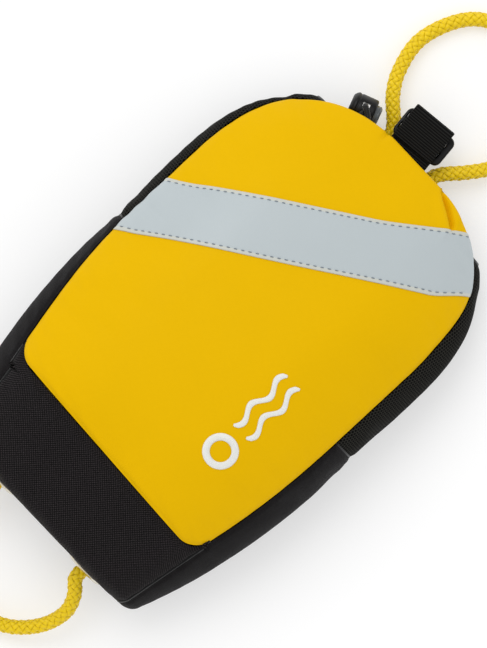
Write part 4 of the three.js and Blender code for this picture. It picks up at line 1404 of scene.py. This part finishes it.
loop_x = (EYELETS[0][0] + EYELETS[1][0]) / 2
loop_z = EYELETS[0][2]
half_gap = (EYELETS[1][0] - EYELETS[0][0]) / 2
right_half = [
    (half_gap, 12.5, 0), (half_gap, 7, 0), (half_gap, 0, 0), (half_gap, -5.5, 0), (30.6, -11, -2.2),
    (33.4, -18.5, -5), (30.5, -30, -9), (20, -41.5, -12.6),
]
toe_loop = [(loop_x + x, s, loop_z + z) for x, s, z in right_half]
toe_loop.append((loop_x, -47.5, loop_z - 14.5))
toe_loop += [(loop_x - x, s, loop_z + z) for x, s, z in right_half[::-1]]
ends = [(loop_x, s, loop_z) for s in (-1.5, -9.5)]
nodes = ("bottom_loop", "left_loop_leg", "right_loop_leg")
toe_rope = add_braid(Shape(), spline(toe_loop, 0.5))
toe_rope.bending_piece("toe_rope_loop", FIBRE, "rope", ("bag", "bottom_loop"), ends, *nodes)

hand_x = joint_mm("hand_loop_swing")[0]


def hand_leg(side, reach):
    """One leg of the hand loop, from its knot inside the bag to the crown of the loop."""
    leg = [(4.5, 174, 9.6), (4.5, 178, 9.4), (reach - 1, 205, 9.4), (reach, 218, 9.4), (22.4, 229, 8.0)]
    leg += [(27.8, 237.5, 6.4), (31.2, 254.4, 4.2), (21.7, 276, 3.8)]
    return [(hand_x + side * x, s, z) for x, s, z in leg]


hand_line = hand_leg(-1, LEFT_REACH) + [(hand_x, 285, 3.8)] + hand_leg(1, RIGHT_REACH)[::-1]
ends = [(hand_x, s, 8) for s in (223.5, 234.5)]
nodes = ("hand_loop", "left_leader", "right_leader")
hand_rope = add_braid(Shape(), spline(hand_line, 0.5))
hand_rope.bending_piece("hand_rope_loop", FIBRE, "rope", ("rope_leader", "hand_loop"), ends, *nodes)

for name, node, size, body in (
    ("left_stop_knot", "left_stopper_knot", 5.0, "bag"),
    ("right_stop_knot", "right_stopper_knot", 5.0, "bag"),
    ("tie_in_rope_knot", "tie_in_knot", 5.0, "bag"),
    ("hand_rope_knot", "hand_loop_knot", 5.4, "rope_leader"),
):
    shape = Shape()
    path = trefoil(centre_mm(node), size, ((1, 0, 0), (0, 0, 1)))
    add_braid(shape, resample(path, 0.8), 2.7)
    shape.piece(name, FIBRE, "rope", body, node)

pile_low, pile_high = box_mm("rope_pile")
pile_mid = (pile_low + pile_high) / 2
pile_half = (pile_high - pile_low) / 2
rng = np.random.default_rng(7)
shape = Shape()
FLAKE = 7.0
LAYER = 7.3
PILLOW = 2.8
for level, z in enumerate(np.arange(pile_low[2] + 4.5, pile_high[2] - 2.5, LAYER)):
    rise = abs(z - pile_mid[2]) / pile_half[2]
    share = superellipse(rise, PILLOW)
    rows = np.arange(-pile_half[1] * share + 4, pile_half[1] * share - 3, FLAKE)
    line = []
    for k, dy in enumerate(rows):
        reach = pile_half[0] * share * superellipse(dy / (pile_half[1] * share), PILLOW) - 5
        way = 1 if (k + level) % 2 else -1
        for t in np.linspace(-1, 1, 7):
            wander = rng.uniform(-0.8, 0.8, 2)
            along = pile_mid[1] + dy + wander[0] + 0.9 * t
            line.append((pile_mid[0] + way * t * max(reach, 6), along, z + wander[1]))
    add_tube(shape, spline(line, 2.2), ROPE, 10)
shape.piece("stuffed_rope", STUFFED, "rope", "bag", "rope_pile")

low, high = box_mm("flotation_foam")
A, E = np.meshgrid(np.linspace(0, math.tau, 121)[:-1], np.linspace(-math.pi / 2, math.pi / 2, 25))


def rounded_power(value, power):
    return np.sign(value) * np.abs(value) ** power


ring_scale = rounded_power(np.cos(E), 0.12)
foam_x = (low[0] + high[0]) / 2 + (high[0] - low[0]) / 2 * ring_scale * rounded_power(np.cos(A), 0.3)
foam_s = (low[1] + high[1]) / 2 + (high[1] - low[1]) / 2 * ring_scale * rounded_power(np.sin(A), 0.3)
foam_z = (low[2] + high[2]) / 2 + (high[2] - low[2]) / 2 * rounded_power(np.sin(E), 0.7)
shape = Shape()
shape.add(points(foam_x, foam_s, foam_z), [grid_faces(25, 120, True)])
shape.piece("foam_pad", FOAM, "foam", "bag", "flotation_foam")


# ---- Stage, light and camera ----

FLOOR_HALF = 6
FLOOR_DROP = -0.0002
FLOOR_GLOW = 0.42
KEY_SIZE = 1.6
KEY_ENERGY = 14
KEY_PLACE = (-1.1, 0.5, 1.9)
SENSOR = 36
scene = bpy.context.scene
floor = bpy.data.meshes.new("floor")
corners = [(a * FLOOR_HALF, b * FLOOR_HALF, 0) for a, b in ((-1, -1), (1, -1), (1, 1), (-1, 1))]
floor.from_pydata(corners, [], [(0, 1, 2, 3)])
floor = add_object("floor", floor)
floor.location.z = FLOOR_DROP
white = Look("floor_white", (205, 205, 205), 0.9, 0.0)
put(white.bsdf, {"Emission Color": (1, 1, 1, 1), "Emission Strength": FLOOR_GLOW})
floor.data.materials.append(white.done())

WORLD_LIGHT = 0.84
GLOSSY_LIGHT = 0.25
world = bpy.data.worlds.new("studio")
scene.world = world
world.use_nodes = True
tree = world.node_tree
background = tree.nodes["Background"]
put(background, {"Color": (1, 1, 1, 1)})
ray = tree.nodes.new("ShaderNodeLightPath")
dim = assign(tree.nodes.new("ShaderNodeMath"), operation="MULTIPLY_ADD")
put(dim, {1: GLOSSY_LIGHT - WORLD_LIGHT, 2: WORLD_LIGHT})
tree.links.new(ray.outputs["Is Glossy Ray"], dim.inputs[0])
tree.links.new(dim.outputs[0], background.inputs["Strength"])

key = bpy.data.lights.new("key", "AREA")
assign(key, shape="DISK", size=KEY_SIZE, energy=KEY_ENERGY)
key_object = add_object("key", key)
key_object.location = KEY_PLACE
key_object.rotation_euler = (Vector((0, 0, 0.03)) - key_object.location).to_track_quat("-Z", "Y").to_euler()

scene.view_settings.view_transform = "Standard"
camera = bpy.data.cameras.new("camera")
camera_object = add_object("camera", camera)
IMAGE_RIGHT = Vector((0.6884, 0.7254, 0))
IMAGE_UP = Vector((-0.7254, 0.6884, 0))
CAMERA_HEIGHT = 3.0
SEEN_HEIGHT = 0.269
middle = Vector((-0.001, (117.7 + TOE_Y) * MM, CAMERA_HEIGHT))
basis = Matrix((IMAGE_RIGHT, IMAGE_UP, Vector((0, 0, 1)))).transposed()
camera_object.matrix_world = Matrix.Translation(middle) @ basis.to_4x4()
camera.sensor_fit = "VERTICAL"
camera.sensor_height = SENSOR
camera.lens = SENSOR * (CAMERA_HEIGHT - 0.03) / SEEN_HEIGHT
scene.camera = camera_object
